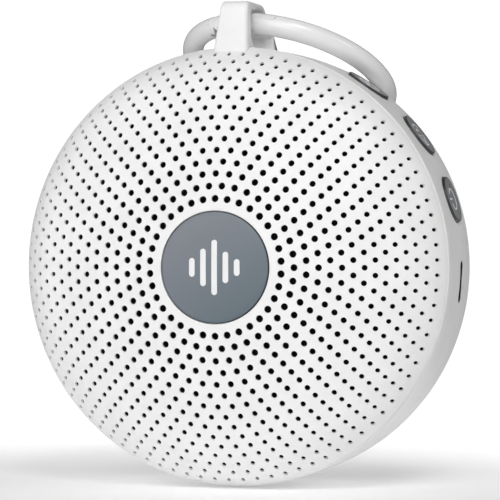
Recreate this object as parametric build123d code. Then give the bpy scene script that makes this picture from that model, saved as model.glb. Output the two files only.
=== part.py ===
from build123d import *
from math import asin, atan2, cos, degrees, hypot, pi, radians, sin, sqrt
import os

# A round portable white noise sound machine: a perforated dome over a small loudspeaker, a two-part
# case that closes on a seam round the side, three push buttons and a charging socket on the seam,
# and an opening ring that hangs in a loop on top.
# Frame: millimetres, +Z up as the machine stands on its rim, the dome faces -Y and the flat back
# lies in the plane y = 0. The body's axis is the Y axis. Angles on the body are degrees from +X
# towards +Z. A turned profile is a list of (radius, y) points.

# ---- body ----
body_depth = 37.5  # back plane to the dome's apex
crown_radius = 156.8  # radius of curvature of the middle of the dome
crown_edge = 22.8  # distance from the axis where the crown ends
shoulder_radius = 61.5
shoulder_edge = 35.4
rim_radius = 13.2
dome_edge = 43.0  # the dome's largest radius
wall = 2.0  # case wall
grille_wall = 1.6  # least thickness at a hole
band_radius = 43.35  # largest radius of the case
band_widest_y = -14.0  # where it is widest
band_slope = 1.4  # degrees that the side leans in towards the dome
band_arc = 150.0  # radius that rounds the side over
corner_start = 3.2  # degrees where the side turns into the back corner
corner_radius = 6.0
seam_y = -14.0  # where the front and rear cases meet
crease = 0.25  # groove between the dome and the case
fit = 0.15  # clearance round parts that drop into each other
lip_wall = 0.9  # locating lip inside the seam
lip_reach = 1.5  # how far it reaches past the seam
spigot_wall = 0.7  # ring under the dome that snaps into the case
spigot_depth = 2.1
rim_lip = 0.85  # thin edge of the case just behind the dome

# ---- sound holes ----
ring_count = 15
first_ring_holes = 34
holes_added = 4  # extra holes in each further ring
first_ring_radius = 13.21
ring_pitch = 2.472  # spacing of the first two rings
ring_pitch_loss = 0.0319  # how quickly the spacing shrinks
first_hole = 1.43  # hole diameter in the innermost ring
last_hole = 0.78  # hole diameter in the outermost ring

# ---- badge ----
badge_radius = 10.75
badge_pocket = 10.9
badge_thickness = 0.9
badge_sink = 0.05
bar_width = 1.15
bar_gap = 1.1
bar_heights = (3.6, 7.2, 10.6, 6.0, 3.2)
bar_depth = 0.3

# ---- cloth behind the holes ----
cloth_inset = 2.75
cloth_thickness = 0.3
cloth_edge = 39.2

# ---- loudspeaker ----
baffle_y = -31.0  # front face of the plate that carries the speaker
baffle_thickness = 1.8
baffle_edge = 29.4  # where the plate starts to slope back
baffle_ledge = 39.6  # where it turns flat again, next to the case wall
ledge_thickness = 1.3
mouth_radius = 22.0
gasket_thickness = 0.5
speaker_lip = 0.4  # thickness of the surround's glued edge
frame_sheet = 1.0
frame_radius = 25.0
screw_circle = 27.25
cone_outer = 18.8
coil_radius = 9.1
cone_wall = 0.4
gap_inner = 8.4  # pole plate radius
gap_outer = 10.0  # inside of the cup
cup_radius = 12.5
cup_back_y = -12.3
cup_floor = 2.2
magnet_thickness = 3.6
pole_thickness = 2.0
cone_travel = 0.8

# ---- push buttons ----
button_angles = {"lower": 17.7, "middle": 36.6, "upper": 55.5}
button_radius = 4.6
button_hole = 4.8
button_proud = 0.35
button_travel = 0.5
flange_radius = 5.2
flange_thickness = 0.7
flange_room = 0.62  # between the flange's middle and the case wall
stem_radius = 1.5
plunger_radius = 0.85
switch_size = (5.2, 3.26, 3.4)  # across, thick, deep

# ---- charging socket ----
port_angle = -3.9
socket_width = 8.94
socket_height = 3.26
socket_length = 7.35
socket_sheet = 0.3
slot_width = 8.35
slot_height = 2.85
slot_skin = 1.0  # case wall left in front of the socket
tongue_size = (6.69, 0.7, 5.1)

# ---- circuit board ----
board_inner = 19.0
board_outer = 38.3
board_thickness = 1.6
board_start = -18.5
board_end = 82.0
board_screw_places = ((22.0, 14.0), (34.6, 27.8), (22.5, 76.0))  # radius, angle
chip_places = ((29.0, 47.0, 5.0, 5.0, 0.9), (26.5, 30.0, 4.0, 4.0, 0.8), (29.5, 61.5, 3.0, 3.0, 0.9))
coil_place = (27.5, 11.0, 4.0, 4.0, 2.0)

# ---- battery ----
cell_size = (50.0, 8.0, 30.0)
cell_top = 2.6
pad_thickness = 0.5

# ---- case screws ----
case_screw_places = ((31.8, -26.2), (31.8, 206.2), (31.8, 115.0))  # radius, angle
case_screw_radius = 1.25
case_screw_head = 2.4
case_post_radius = 3.3
head_depth = 3.2  # how deep the heads sit below the back
case_screw_length = 13.0
case_post_end = -9.2  # where the posts of the two cases meet

# ---- hanging loop ----
loop_width = 6.3
loop_hole_front = -22.35
loop_hole_top = 50.85
loop_top = 52.3
loop_gap = 0.08  # between the loop's feet and the case
loop_neck = (5.6, 13.4, -16.2)  # width, length, middle
loop_anchor = (11.0, 14.1, -15.65)
loop_anchor_foot = 39.6  # height of its flat inner face

# ---- hanging ring ----
ring_radius = 20.45  # to the middle of the bar
ring_bar = 2.15  # radius of the bar
eye = Vector(0, -17.65, 48.3)  # where the bar passes through the loop
ring_yaw = 14.4  # degrees that the bar turns from +X towards -Y
ring_dip = 2.2  # degrees that it slopes down on the right
ring_fall = 25.8  # degrees that the ring leans down behind the case
link_half = 20.0  # half the arc that stays in the loop
tongue_half = 0.65
cheek_gap = 0.1
hinge_pin = 0.7
knuckle_radius = 2.05
knuckle_gap = 0.25
lap_near = 9.9  # where the two halves of the clasp end, from the hinge pin
lap_far = 14.3
lap_level = 0.3  # height of the face between them
lap_gap = 0.06
clasp_gap = 0.15

os.makedirs("parts", exist_ok=True)


def save(node, shape):
    if isinstance(shape, ShapeList):
        shape = Compound(children=list(shape))
    export_step(shape, f"parts/{node}.step")


def turned(*points):
    return revolve(make_face(Polyline(*points, close=True)), Axis.Y, 360)


def polar(radius, angle):
    return radius * cos(radians(angle)), radius * sin(radians(angle))


def facing(angle, y=seam_y):
    """Plane on the body's axis, looking outwards at an angle, with its x along the circumference."""
    a = radians(angle)
    return Plane(origin=(0, y, 0), x_dir=(-sin(a), 0, cos(a)), z_dir=(cos(a), 0, sin(a)))


def plate(sketch, back_y, thickness):
    """A flat piece parallel to the back, from back_y towards the dome."""
    return extrude(Plane.XZ.offset(-back_y) * sketch, thickness)


def post(place, radius, back_y, front_y):
    return plate(Pos(*polar(*place)) * Circle(radius), back_y, back_y - front_y)


def radial_box(angle, across, thick, near, far, y=seam_y, shift=0.0):
    """Box on an outward axis: across runs round the body, thick runs along Y."""
    plane = facing(angle, y)
    return plane * Pos(shift, 0, (near + far) / 2) * Box(across, thick, far - near)


def radial_rod(angle, radius, near, far, y=seam_y):
    return facing(angle, y) * Pos(0, 0, (near + far) / 2) * Cylinder(radius, far - near)


# ---------------------------------------------------------------- outlines of the body


def dome_centres():
    crown_turn = asin(crown_edge / crown_radius)
    crown = (0.0, crown_radius - body_depth)
    step = crown_radius - shoulder_radius
    shoulder = (crown[0] + step * sin(crown_turn), crown[1] - step * cos(crown_turn))
    shoulder_turn = asin((shoulder_edge - shoulder[0]) / shoulder_radius)
    step = shoulder_radius - rim_radius
    rim = (shoulder[0] + step * sin(shoulder_turn), shoulder[1] - step * cos(shoulder_turn))
    rim_turn = asin((dome_edge - rim[0]) / rim_radius)
    return (
        (crown, crown_radius, 0.0, crown_turn),
        (shoulder, shoulder_radius, crown_turn, shoulder_turn),
        (rim, rim_radius, shoulder_turn, rim_turn),
    )


def on_arc(centre, radius, turn):
    return (centre[0] + radius * sin(turn), centre[1] - radius * cos(turn))


def dome_arcs(inset, last_turn=None):
    """Edges of the dome's outline, moved inwards by inset, from the axis to the rim."""
    edges = []
    for centre, radius, start, end in dome_centres():
        if last_turn is not None:
            end = min(end, last_turn)
        turns = (start, (start + end) / 2, end)
        edges.append(ThreePointArc(*[on_arc(centre, radius - inset, turn) for turn in turns]))
    return edges


def dome_y(distance):
    """Height of the dome's outer face at a distance from the axis."""
    for centre, radius, start, end in dome_centres():
        if distance <= centre[0] + radius * sin(end) + 1e-9:
            return centre[1] - sqrt(radius**2 - (distance - centre[0]) ** 2)
    return dome_y(dome_edge)


dome_end = on_arc(dome_centres()[2][0], rim_radius, dome_centres()[2][3])
band_top_y = dome_end[1] + crease
band_centre = (band_radius - band_arc, band_widest_y)
side_end = (
    band_centre[0] + band_arc * cos(radians(band_slope)),
    band_centre[1] - band_arc * sin(radians(band_slope)),
)


def side_radius(y):
    """Outer radius of the leaning side of the case."""
    return side_end[0] + (y - side_end[1]) * sin(radians(band_slope)) / cos(radians(band_slope))


corner_point = (
    band_centre[0] + band_arc * cos(radians(corner_start)),
    band_centre[1] + band_arc * sin(radians(corner_start)),
)
corner_centre = (
    corner_point[0] - corner_radius * cos(radians(corner_start)),
    corner_point[1] - corner_radius * sin(radians(corner_start)),
)


def case_outline(inset, back_y):
    """Edges of the side and back corner, moved inwards, from the dome's edge to the back."""
    lean = radians(band_slope)
    shift = (inset * cos(lean), inset * sin(lean))
    top = (side_radius(band_top_y) - shift[0], band_top_y)
    low = (side_end[0] - shift[0], side_end[1] + shift[1])
    start = radians(corner_start)
    turn = (start - lean) / 2
    arc = band_arc - inset
    middle = (band_centre[0] + arc * cos(turn), band_centre[1] + arc * sin(turn))
    over = (band_centre[0] + arc * cos(start), band_centre[1] + arc * sin(start))
    bend = corner_radius - inset
    end_turn = asin(min(0.999, (back_y - corner_centre[1]) / bend))
    half = (start + end_turn) / 2
    bent = (corner_centre[0] + bend * cos(half), corner_centre[1] + bend * sin(half))
    last = (corner_centre[0] + bend * cos(end_turn), corner_centre[1] + bend * sin(end_turn))
    return [Line(top, low), ThreePointArc(low, middle, over), ThreePointArc(over, bent, last)], top, last


def case_body(inset=0.0, back_y=0.0):
    """Solid of the case's side and back, closed flat at the dome's edge."""
    edges, top, last = case_outline(inset, back_y)
    edges += [Line(last, (0, back_y)), Line((0, back_y), (0, top[1])), Line((0, top[1]), top)]
    return revolve(make_face(edges), Axis.Y, 360)


def dome_body(inset=0.0):
    """Solid under the dome, closed flat at its edge."""
    edges = dome_arcs(inset)
    start, end = edges[0] @ 0, edges[-1] @ 1
    edges += [Line(end, (0, end.Y)), Line((0, end.Y), start)]
    return revolve(make_face(edges), Axis.Y, 360)


# ---------------------------------------------------------------- perforated dome


def hole_rings():
    """Radius, hole count, hole radius and first angle of each ring of sound holes."""
    rings = []
    for index in range(ring_count):
        radius = first_ring_radius + ring_pitch * index - ring_pitch_loss * index**2
        share = index / (ring_count - 1)
        hole = (first_hole + (last_hole - first_hole) * share) / 2
        rings.append((radius, first_ring_holes + holes_added * index, hole, 90 * ((index + 1) % 2)))
    return rings


def grille_profile():
    """The dome's section: smooth outside, with a flat terrace behind each ring of holes."""
    rings = [ring[0] for ring in hole_rings()]
    spigot_outer = side_radius(band_top_y) - wall - fit
    spigot_inner = spigot_outer - spigot_wall
    edges = [Line(dome_end, (spigot_outer, dome_end[1]))]
    points = [(spigot_outer, dome_end[1]), (spigot_outer, spigot_end), (spigot_inner, spigot_end)]
    bounds = [(a + b) / 2 for a, b in zip(rings, rings[1:-1])]
    outer = spigot_inner
    for inner in reversed([badge_pocket] + bounds):
        level = dome_y(outer) + grille_wall
        points += [(outer, level), (inner, level)]
        outer = inner
    points.append((outer, dome_y(0) + badge_thickness + grille_wall))
    points.append((0, dome_y(0) + badge_thickness + grille_wall))
    edges.append(Polyline(*points))
    return make_face(dome_arcs(0.0) + edges + [Line(points[-1], (0, -body_depth))])


def make_front_grille():
    shell = revolve(grille_profile(), Axis.Y, 360)
    shell -= turned(
        (0, -body_depth - 1),
        (badge_pocket, -body_depth - 1),
        (badge_pocket, dome_y(badge_radius) + badge_thickness),
        (0, dome_y(badge_radius) + badge_thickness),
    )
    circles = []
    for radius, count, hole, start in hole_rings():
        for index in range(count):
            circles.append(Pos(*polar(radius, start + 360 * index / count)) * Circle(hole))
    drilled = Circle(band_radius) - (Sketch() + circles)
    return shell & plate(drilled, 0, body_depth + 1)


def bar_boxes(depth):
    """Rounded bars of a plain level meter, as slots cut from the badge's front."""
    bars = Sketch()
    step = bar_width + bar_gap
    first = -step * (len(bar_heights) - 1) / 2
    for index, height in enumerate(bar_heights):
        bars += Pos(first + step * index, 0) * SlotOverall(height, bar_width, rotation=90)
    return plate(bars, dome_y(0) + badge_sink + depth, depth + 1)


def make_badge():
    back = dome_y(badge_radius) + badge_thickness
    disc = plate(Circle(badge_radius), back, 3)
    cap = revolve(make_face(dome_arcs(badge_sink) + badge_section()), Axis.Y, 360)
    body = disc & cap
    inlay = body & bar_boxes(bar_depth)
    return body - bar_boxes(bar_depth), inlay


def badge_section():
    end = dome_arcs(badge_sink)[-1] @ 1
    return [Line(end, (0, end.Y)), Line((0, end.Y), (0, -body_depth + badge_sink))]


def make_cloth():
    """Thin woven cloth glued behind the holes."""
    front = dome_body(cloth_inset)
    back = dome_body(cloth_inset + cloth_thickness)
    keep = plate(Circle(cloth_edge), 0, body_depth + 1)
    rear_lid = plate(Circle(band_radius), 0, -dome_end[1] - 1e-3)
    return ((front - back) & keep) - rear_lid


# ---------------------------------------------------------------- front and rear case


def slot_box(width, height, near, far):
    """Rounded slot for the charging socket."""
    shape = SlotOverall(width, height)
    return extrude(facing(port_angle) * Pos(0, 0, near) * shape, far - near)


def side_openings():
    """Holes for the buttons, the socket and the loop's neck, through the seam."""
    cuts = []
    for angle in button_angles.values():
        cuts.append(radial_rod(angle, button_hole, 36, 48))
    cuts.append(slot_box(slot_width, slot_height, 36, 48))
    skin_face = side_radius(seam_y) - slot_skin
    cuts.append(slot_box(socket_width + 2 * fit, socket_height + 2 * fit, 34, skin_face))
    width, length, middle = loop_neck
    cuts.append(Pos(0, middle, 44) * Box(width + 2 * fit, length + 2 * fit, 12))
    return cuts


def lip_openings():
    """Room in the locating lip for the flanges behind the case wall."""
    cuts = [radial_rod(angle, flange_radius + 0.5, 36, 48) for angle in button_angles.values()]
    cuts.append(radial_box(port_angle, socket_width + 3, 8, 34, 48))
    cuts.append(Pos(0, loop_anchor[2], 42) * Box(loop_anchor[0] + 1, loop_anchor[1] + 1, 12))
    return cuts


spigot_end = dome_end[1] + spigot_depth
ledge_front = spigot_end + 0.2
ledge_back = ledge_front + ledge_thickness
baffle_back = baffle_y + baffle_thickness
surround_y = baffle_back + gasket_thickness
frame_y = surround_y + speaker_lip
spider_y = frame_y + 5.4
cup_front_y = -20.0


def baffle():
    """Dished plate across the front case, with the speaker's mouth in it."""
    edge_radius = side_radius(band_top_y) - wall + 0.4
    return turned(
        (mouth_radius, baffle_y),
        (baffle_edge, baffle_y),
        (baffle_ledge, ledge_front),
        (edge_radius, ledge_front),
        (edge_radius, ledge_back),
        (baffle_ledge - 0.3, ledge_back),
        (baffle_edge, baffle_back),
        (mouth_radius, baffle_back),
    )


def baffle_level(radius):
    """Back face of the dished plate at a radius."""
    if radius <= baffle_edge:
        return baffle_back
    share = (radius - baffle_edge) / (baffle_ledge - 0.3 - baffle_edge)
    return baffle_back + (ledge_back - baffle_back) * share


def speaker_pads():
    """Raised seats for the speaker screws, as thick as the gasket and the surround's edge."""
    return [
        post((screw_circle, angle), 2.1, frame_y, baffle_back - 0.2)
        for angle in (45, 135, 225, 315)
    ]


def make_front_case():
    case = case_body() - plate(Circle(60), 5, 5 - seam_y)
    bore = side_radius(seam_y) - wall
    rim_bore = side_radius(band_top_y) - wall
    groove_y = band_top_y + 1.3
    case -= turned(
        (0, band_top_y - 1),
        (side_radius(band_top_y) - rim_lip, band_top_y - 1),
        (side_radius(band_top_y) - rim_lip, groove_y),
        (rim_bore, groove_y),
        (bore, seam_y + 1),
        (0, seam_y + 1),
    )
    lip_outer = bore - fit
    lip = turned(
        (lip_outer - lip_wall, seam_y - 2.4),
        (bore + 0.2, seam_y - 2.4),
        (bore + 0.2, seam_y - 0.6),
        (lip_outer, seam_y - 0.4),
        (lip_outer, seam_y + lip_reach),
        (lip_outer - lip_wall, seam_y + lip_reach),
    )
    for cut in lip_openings():
        lip -= cut
    case += lip
    case += baffle()
    for pad in speaker_pads():
        case += pad
    for place in case_screw_places:
        case += post(place, case_post_radius, case_post_end - 0.1, baffle_level(place[0] - 2) - 0.3)
    case -= anchor_room()
    case += (case_body() - case_body(wall, -wall)) & anchor_room() & plate(Circle(60), seam_y, 30)
    for cut in side_openings():
        case -= cut
    for place in case_screw_places:
        case -= post(place, case_screw_radius + 0.05, 0, case_post_end - 10.5)
    for angle in (45, 135, 225, 315):
        case -= post((screw_circle, angle), 0.85, -20, baffle_y + 0.4)
    return case


def anchor_room():
    """Space round the loop's anchor, out through the case wall."""
    across, along, middle = loop_anchor
    low = loop_anchor_foot - 0.1
    return Pos(0, middle, (low + 46) / 2) * Box(across + 0.4, along + 0.2, 46 - low)


def make_rear_case():
    case = case_body() - plate(Circle(60), seam_y, 30)
    case -= case_body(wall, -wall)
    for place in case_screw_places:
        case += post(place, case_post_radius, -1.0, case_post_end)
    for place in board_screw_places:
        case += post(place, 2.2, -1.0, board_back_y)
    case += cell_walls()
    for place in case_screw_places:
        case -= post(place, case_screw_head + 0.25, 1, -head_depth - 1.8)
        case -= post(place, case_screw_radius + 0.15, 1, case_post_end - 1)
    for place in board_screw_places:
        case -= post(place, 0.8, -4.0, board_back_y - 1)
    for cut in side_openings():
        case -= cut
    return case


def cell_walls():
    """Low ribs that hold the battery sideways and from below."""
    across, deep, high = cell_size
    middle = cell_top - high / 2
    ribs = []
    for side in (-1, 1):
        ribs.append(Pos(side * (across / 2 + 0.9), -3.5, middle + 2) * Box(1.2, 4.0, 16))
    ribs.append(Pos(0, -3.5, cell_top - high - 0.9) * Box(20, 4.0, 1.2))
    ribs.append(Pos(0, -3.5, cell_top + 0.9) * Box(20, 4.0, 1.2))
    return ribs


# ---------------------------------------------------------------- loudspeaker

def make_gasket():
    low = baffle_y + baffle_thickness
    return turned(
        (mouth_radius, low),
        (frame_radius, low),
        (frame_radius, surround_y),
        (mouth_radius, surround_y),
    )


def make_surround():
    """Half roll of rubber between the cone and the frame."""
    roll = (mouth_radius - 0.4 + cone_outer) / 2
    radius = (mouth_radius - 0.4 - cone_outer) / 2
    outer = [(roll + radius, surround_y), (roll, surround_y - radius), (roll - radius, surround_y)]
    thick = speaker_lip
    inner = [
        (roll + radius - thick, frame_y),
        (roll, frame_y - radius + thick),
        (roll - radius + thick, frame_y),
    ]
    face = make_face(
        [
            Line((frame_radius - 0.6, surround_y), outer[0]),
            ThreePointArc(*outer),
            Line(outer[2], (cone_outer - 1.2, surround_y)),
            Line((cone_outer - 1.2, surround_y), (cone_outer - 1.2, frame_y)),
            Line((cone_outer - 1.2, frame_y), inner[2]),
            ThreePointArc(*reversed(inner)),
            Line(inner[0], (frame_radius - 0.6, frame_y)),
            Line((frame_radius - 0.6, frame_y), (frame_radius - 0.6, surround_y)),
        ]
    )
    return revolve(face, Axis.Y, 360)


def make_frame():
    """Pressed steel basket with four ears and four windows."""
    sheet = frame_sheet
    seat = 15.8
    basket = turned(
        (mouth_radius - 0.2, frame_y),
        (frame_radius, frame_y),
        (frame_radius, frame_y + sheet),
        (mouth_radius, frame_y + sheet),
        (seat + sheet, spider_y + sheet),
        (seat - 1.6, spider_y + sheet),
        (13.4, cup_front_y),
        (gap_outer + 0.2, cup_front_y),
        (gap_outer + 0.2, cup_front_y - 0.8),
        (12.6, cup_front_y - 0.8),
        (13.2, spider_y + 0.4),
        (13.2, spider_y),
        (seat, spider_y),
    )
    for angle in (45, 135, 225, 315):
        ear = post((screw_circle, angle), 2.1, frame_y + sheet, frame_y)
        arm = Rot(0, -angle, 0) * Pos((frame_radius + screw_circle) / 2, frame_y + sheet / 2, 0)
        basket += ear
        basket += arm * Box(screw_circle - frame_radius + 1.0, sheet, 4.2)
        basket -= post((screw_circle, angle), 1.1, frame_y + 5, frame_y - 1)
    for angle in (0, 90, 180, 270):
        window = Rot(0, -angle, 0) * Pos(20.5, frame_y + 3.6, 0) * Box(9.0, 3.0, 14.0)
        basket -= window
    return basket


cone_neck = (coil_radius, spider_y - 1.6)
cone_rim = (cone_outer - 1.3, frame_y)


def make_cone():
    """Paper cone from the coil to the surround."""
    thick = 1.3 * cone_wall
    return turned(
        cone_neck,
        cone_rim,
        (cone_outer, frame_y),
        (cone_outer, frame_y + cone_wall),
        (cone_rim[0], frame_y + thick),
        (cone_neck[0], cone_neck[1] + thick),
    )


def cone_face(radius):
    """Height of the cone's front face at a radius."""
    share = (radius - cone_neck[0]) / (cone_rim[0] - cone_neck[0])
    return cone_neck[1] + share * (cone_rim[1] - cone_neck[1])


def make_dust_cap():
    outer_edge = (coil_radius + 1.1, cone_face(coil_radius + 1.1))
    inner_edge = (coil_radius + 0.6, cone_face(coil_radius + 0.6))
    outer = bowl(outer_edge, 2.4)
    inner = bowl(inner_edge, 2.4 - cone_wall)
    face = make_face([outer, Line(outer @ 1, inner @ 1), inner, Line(inner_edge, outer_edge)])
    return revolve(face, Axis.Y, 360)


def bowl(edge, height):
    """Arc from an edge point to the axis, standing towards the dome by height."""
    radius = (edge[0] ** 2 + height**2) / (2 * height)
    centre = (0, edge[1] - height + radius)
    turn = asin(edge[0] / radius)
    return ThreePointArc(edge, on_arc(centre, radius, turn / 2), (0, centre[1] - radius))


def make_voice_coil():
    """Paper former with a copper winding on its lower end."""
    former = turned(
        (coil_radius - 0.15, spider_y - 1.9),
        (coil_radius, spider_y - 1.9),
        (coil_radius, cup_front_y + 2.6),
        (coil_radius - 0.15, cup_front_y + 2.6),
    )
    winding = turned(
        (coil_radius, cup_front_y - 0.8),
        (coil_radius + 0.3, cup_front_y - 0.8),
        (coil_radius + 0.3, cup_front_y + 2.6),
        (coil_radius, cup_front_y + 2.6),
    )
    return former + winding


def make_spider():
    """Corrugated cloth disc that centres the coil."""
    inner = coil_radius + 0.05
    outer = 15.2
    waves = 3
    step = (outer - 1.6 - inner - 0.4) / (2 * waves)
    front = [(inner, spider_y - 0.3), (inner + 0.4, spider_y - 0.3)]
    for index in range(2 * waves - 1):
        rise = 0.45 if index % 2 else -0.45
        front.append((inner + 0.4 + step * (index + 1), spider_y - 0.3 + rise))
    front += [(outer - 1.6, spider_y - 0.3), (outer, spider_y - 0.3)]
    back = [(radius, y + 0.3) for radius, y in reversed(front)]
    return turned(*front, *back)


def make_cup():
    """Soft iron cup that carries the magnet."""
    floor = cup_back_y - cup_floor
    return turned(
        (0, cup_back_y),
        (cup_radius, cup_back_y),
        (cup_radius, cup_front_y),
        (gap_outer, cup_front_y),
        (gap_outer, floor),
        (0, floor),
    )


def make_magnet():
    floor = cup_back_y - cup_floor
    return post((0, 0), gap_inner, floor, floor - magnet_thickness)


def make_pole_plate():
    top = cup_back_y - cup_floor - magnet_thickness
    return post((0, 0), gap_inner, top, top - pole_thickness)


terminal_angle = 80.0


def make_terminals():
    """Tag board on the basket's flange, with two solder tags."""
    level = frame_y + frame_sheet
    radius = 23.6
    board = radial_box(terminal_angle, 7.0, 1.0, radius - 1.3, radius + 1.3, level + 0.5)
    tags = []
    for side in (-1, 1):
        tags.append(radial_box(terminal_angle, 1.2, 2.2, radius - 0.3, radius + 0.3, level + 2.1, side * 2.2))
    return Compound(children=[board] + tags)


def make_speaker_screws():
    """Four small screws through the ears."""
    screws = []
    for angle in (45, 135, 225, 315):
        place = (screw_circle, angle)
        head = post(place, 1.7, frame_y + frame_sheet + 1.1, frame_y + frame_sheet)
        shank = post(place, 0.8, frame_y + frame_sheet, baffle_y + 0.6)
        slot = post(place, 0.6, frame_y + frame_sheet + 2, frame_y + frame_sheet + 0.5)
        screws.append(head + shank - slot)
    return Compound(children=screws)


# ---------------------------------------------------------------- board and what stands on it

board_front_y = seam_y + socket_height / 2
board_back_y = board_front_y + board_thickness
cell_front_y = -wall - pad_thickness - cell_size[1]


def sector(inner, outer, start, end):
    """Flat piece of a ring between two angles."""
    middle = (start + end) / 2
    return make_face(
        [
            ThreePointArc(polar(outer, start), polar(outer, middle), polar(outer, end)),
            Line(polar(outer, end), polar(inner, end)),
            ThreePointArc(polar(inner, end), polar(inner, middle), polar(inner, start)),
            Line(polar(inner, start), polar(outer, start)),
        ]
    )


def make_board():
    outline = sector(board_inner, board_outer, board_start, board_end)
    tab = Rot(0, 0, port_angle) * Pos(board_outer + 0.6, 0) * Rectangle(3.4, socket_width + 0.8)
    board = plate(outline, board_back_y, board_thickness) + plate(tab, board_back_y, board_thickness)
    for place in board_screw_places:
        board -= post(place, 1.1, board_back_y + 1, board_front_y - 1)
    return board


def make_board_screws():
    screws = []
    for place in board_screw_places:
        head = post(place, 1.8, board_front_y, board_front_y - 1.2)
        shank = post(place, 0.75, -6.0, board_front_y)
        slot = post(place, 0.6, board_front_y - 0.6, board_front_y - 2)
        screws.append(head + shank - slot)
    return Compound(children=screws)


def board_block(place, y=None, back=False):
    """Box on the board at (radius, angle, across, along the radius, height)."""
    radius, angle, across, deep, height = place
    middle = board_back_y + height / 2 if back else board_front_y - height / 2
    return radial_box(angle, across, height, radius - deep / 2, radius + deep / 2, middle)


def make_chips():
    return Compound(children=[board_block(place) for place in chip_places])


def make_socket():
    """Stainless shell of the charging socket."""
    front = side_radius(seam_y) - slot_skin - 0.15
    back = front - socket_length
    body = slot_box(socket_width, socket_height, back, front)
    body -= slot_box(socket_width - 2 * socket_sheet, socket_height - 2 * socket_sheet, back + 0.8, front + 1)
    return body


def make_socket_tongue():
    front = side_radius(seam_y) - slot_skin - 0.15
    base = front - socket_length + 0.8
    across, thick, reach = tongue_size
    core = slot_box(socket_width - 2 * socket_sheet - 0.1, socket_height - 2 * socket_sheet - 0.1, base, base + 1.2)
    return core + radial_box(port_angle, across, thick, base + 1.2, base + 1.2 + reach)


flange_far = side_radius(seam_y) - wall - flange_room
flange_near = flange_far - flange_thickness
cap_top = side_radius(seam_y) + button_proud
stem_end = flange_near - 1.5
switch_far = stem_end - 1.35


def make_switches():
    """Right-angle push switches at the board's edge."""
    across, thick, deep = switch_size
    switches = []
    for angle in button_angles.values():
        block = radial_box(angle, across, thick, switch_far - deep, switch_far)
        block -= radial_rod(angle, plunger_radius + 0.05, switch_far - 1.2, switch_far + 1)
        switches.append(block)
    return Compound(children=switches)


def make_button(angle):
    """Round cap with a bevelled edge, a flange behind the wall and a stem to its switch."""
    cap = radial_rod(angle, button_radius, flange_near, cap_top)
    plane = facing(angle)
    edge = cap.edges().filter_by(GeomType.CIRCLE).sort_by(lambda item: (item.center() - plane.origin).length)[-1]
    cap = fillet(edge, 0.2)
    cap += radial_rod(angle, flange_radius, flange_near, flange_far)
    return cap + radial_rod(angle, stem_radius, stem_end, flange_near)


def make_plunger(angle):
    return radial_rod(angle, plunger_radius, switch_far - 0.5, stem_end)


# ---------------------------------------------------------------- battery, plugs and leads


def make_cell():
    across, deep, high = cell_size
    block = Pos(0, cell_front_y + deep / 2, cell_top - high / 2) * Box(across, deep, high)
    return fillet(block.edges().filter_by(Axis.Z), 2.5)


def make_cell_pads():
    pads = []
    for side in (-1, 1):
        pads.append(Pos(side * 14, -wall - pad_thickness / 2, cell_top - cell_size[2] / 2) * Box(12, pad_thickness, 26))
    return Compound(children=pads)


cell_plug_place = (24.5, 38.0, 5.0, 4.2, 3.2)  # radius, angle, across, along the radius, height
cell_lead_x = 12.0
speaker_plug_place = (30.6, 76.0, 5.0, 4.2, 3.6)
lead_radius = 0.55
lead_spacing = 1.5


def lead(points, bend):
    path = FilletPolyline(*points, radius=bend)
    start = Plane(origin=path @ 0, z_dir=path % 0)
    return sweep(start * Circle(lead_radius), path=path)


def on_axis(angle, y, radius, shift=0.0):
    """Point at a radius on an outward axis, moved round by shift."""
    return facing(angle, y).from_local_coords(Vector(shift, 0, radius))


def make_speaker_leads():
    """Two wires from the speaker's tags to the plug on the board."""
    leads = []
    tag_y = frame_y + frame_sheet + 3.2
    radius, angle, across, deep, height = speaker_plug_place
    plug_y = board_front_y - height
    for side in (-1, 1):
        start = on_axis(terminal_angle, tag_y, 23.6, side * 2.2)
        end = on_axis(angle, plug_y, radius, side * lead_spacing / 2)
        leads.append(lead([start, start + Vector(0, 2.0, 0), end - Vector(0, 2.6, 0), end], 1.1))
    return Compound(children=leads)


def make_cell_leads():
    """Two wires from the battery's top edge to the plug behind the board."""
    leads = []
    radius, angle, across, deep, height = cell_plug_place
    plug_y = board_back_y + height / 2
    for side in (-1, 1):
        start = Vector(cell_lead_x - side * lead_spacing / 2, cell_front_y + 1.6, cell_top)
        bend = start + Vector(0, plug_y - start.Y, 6.0 + side * 0.8)
        end = on_axis(angle, plug_y, radius - deep / 2, side * lead_spacing / 2)
        arrive = on_axis(angle, plug_y, radius - deep / 2 - 4.0, side * lead_spacing / 2)
        leads.append(lead([start, start + Vector(0, 0, 1.5), bend, arrive, end], 1.0))
    return Compound(children=leads)


def make_case_screws():
    screws = []
    for place in case_screw_places:
        head = post(place, case_screw_head, -head_depth, -head_depth - 1.8)
        shank = post(place, case_screw_radius, -head_depth - 1.8, -head_depth - 1.8 - case_screw_length)
        x, z = polar(*place)
        cross = Pos(x, -head_depth - 0.5, z) * (Box(2.6, 1.0, 0.6) + Box(0.6, 1.0, 2.6))
        screws.append(head + shank - cross)
    return Compound(children=screws)


# ---------------------------------------------------------------- hanging loop


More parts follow.
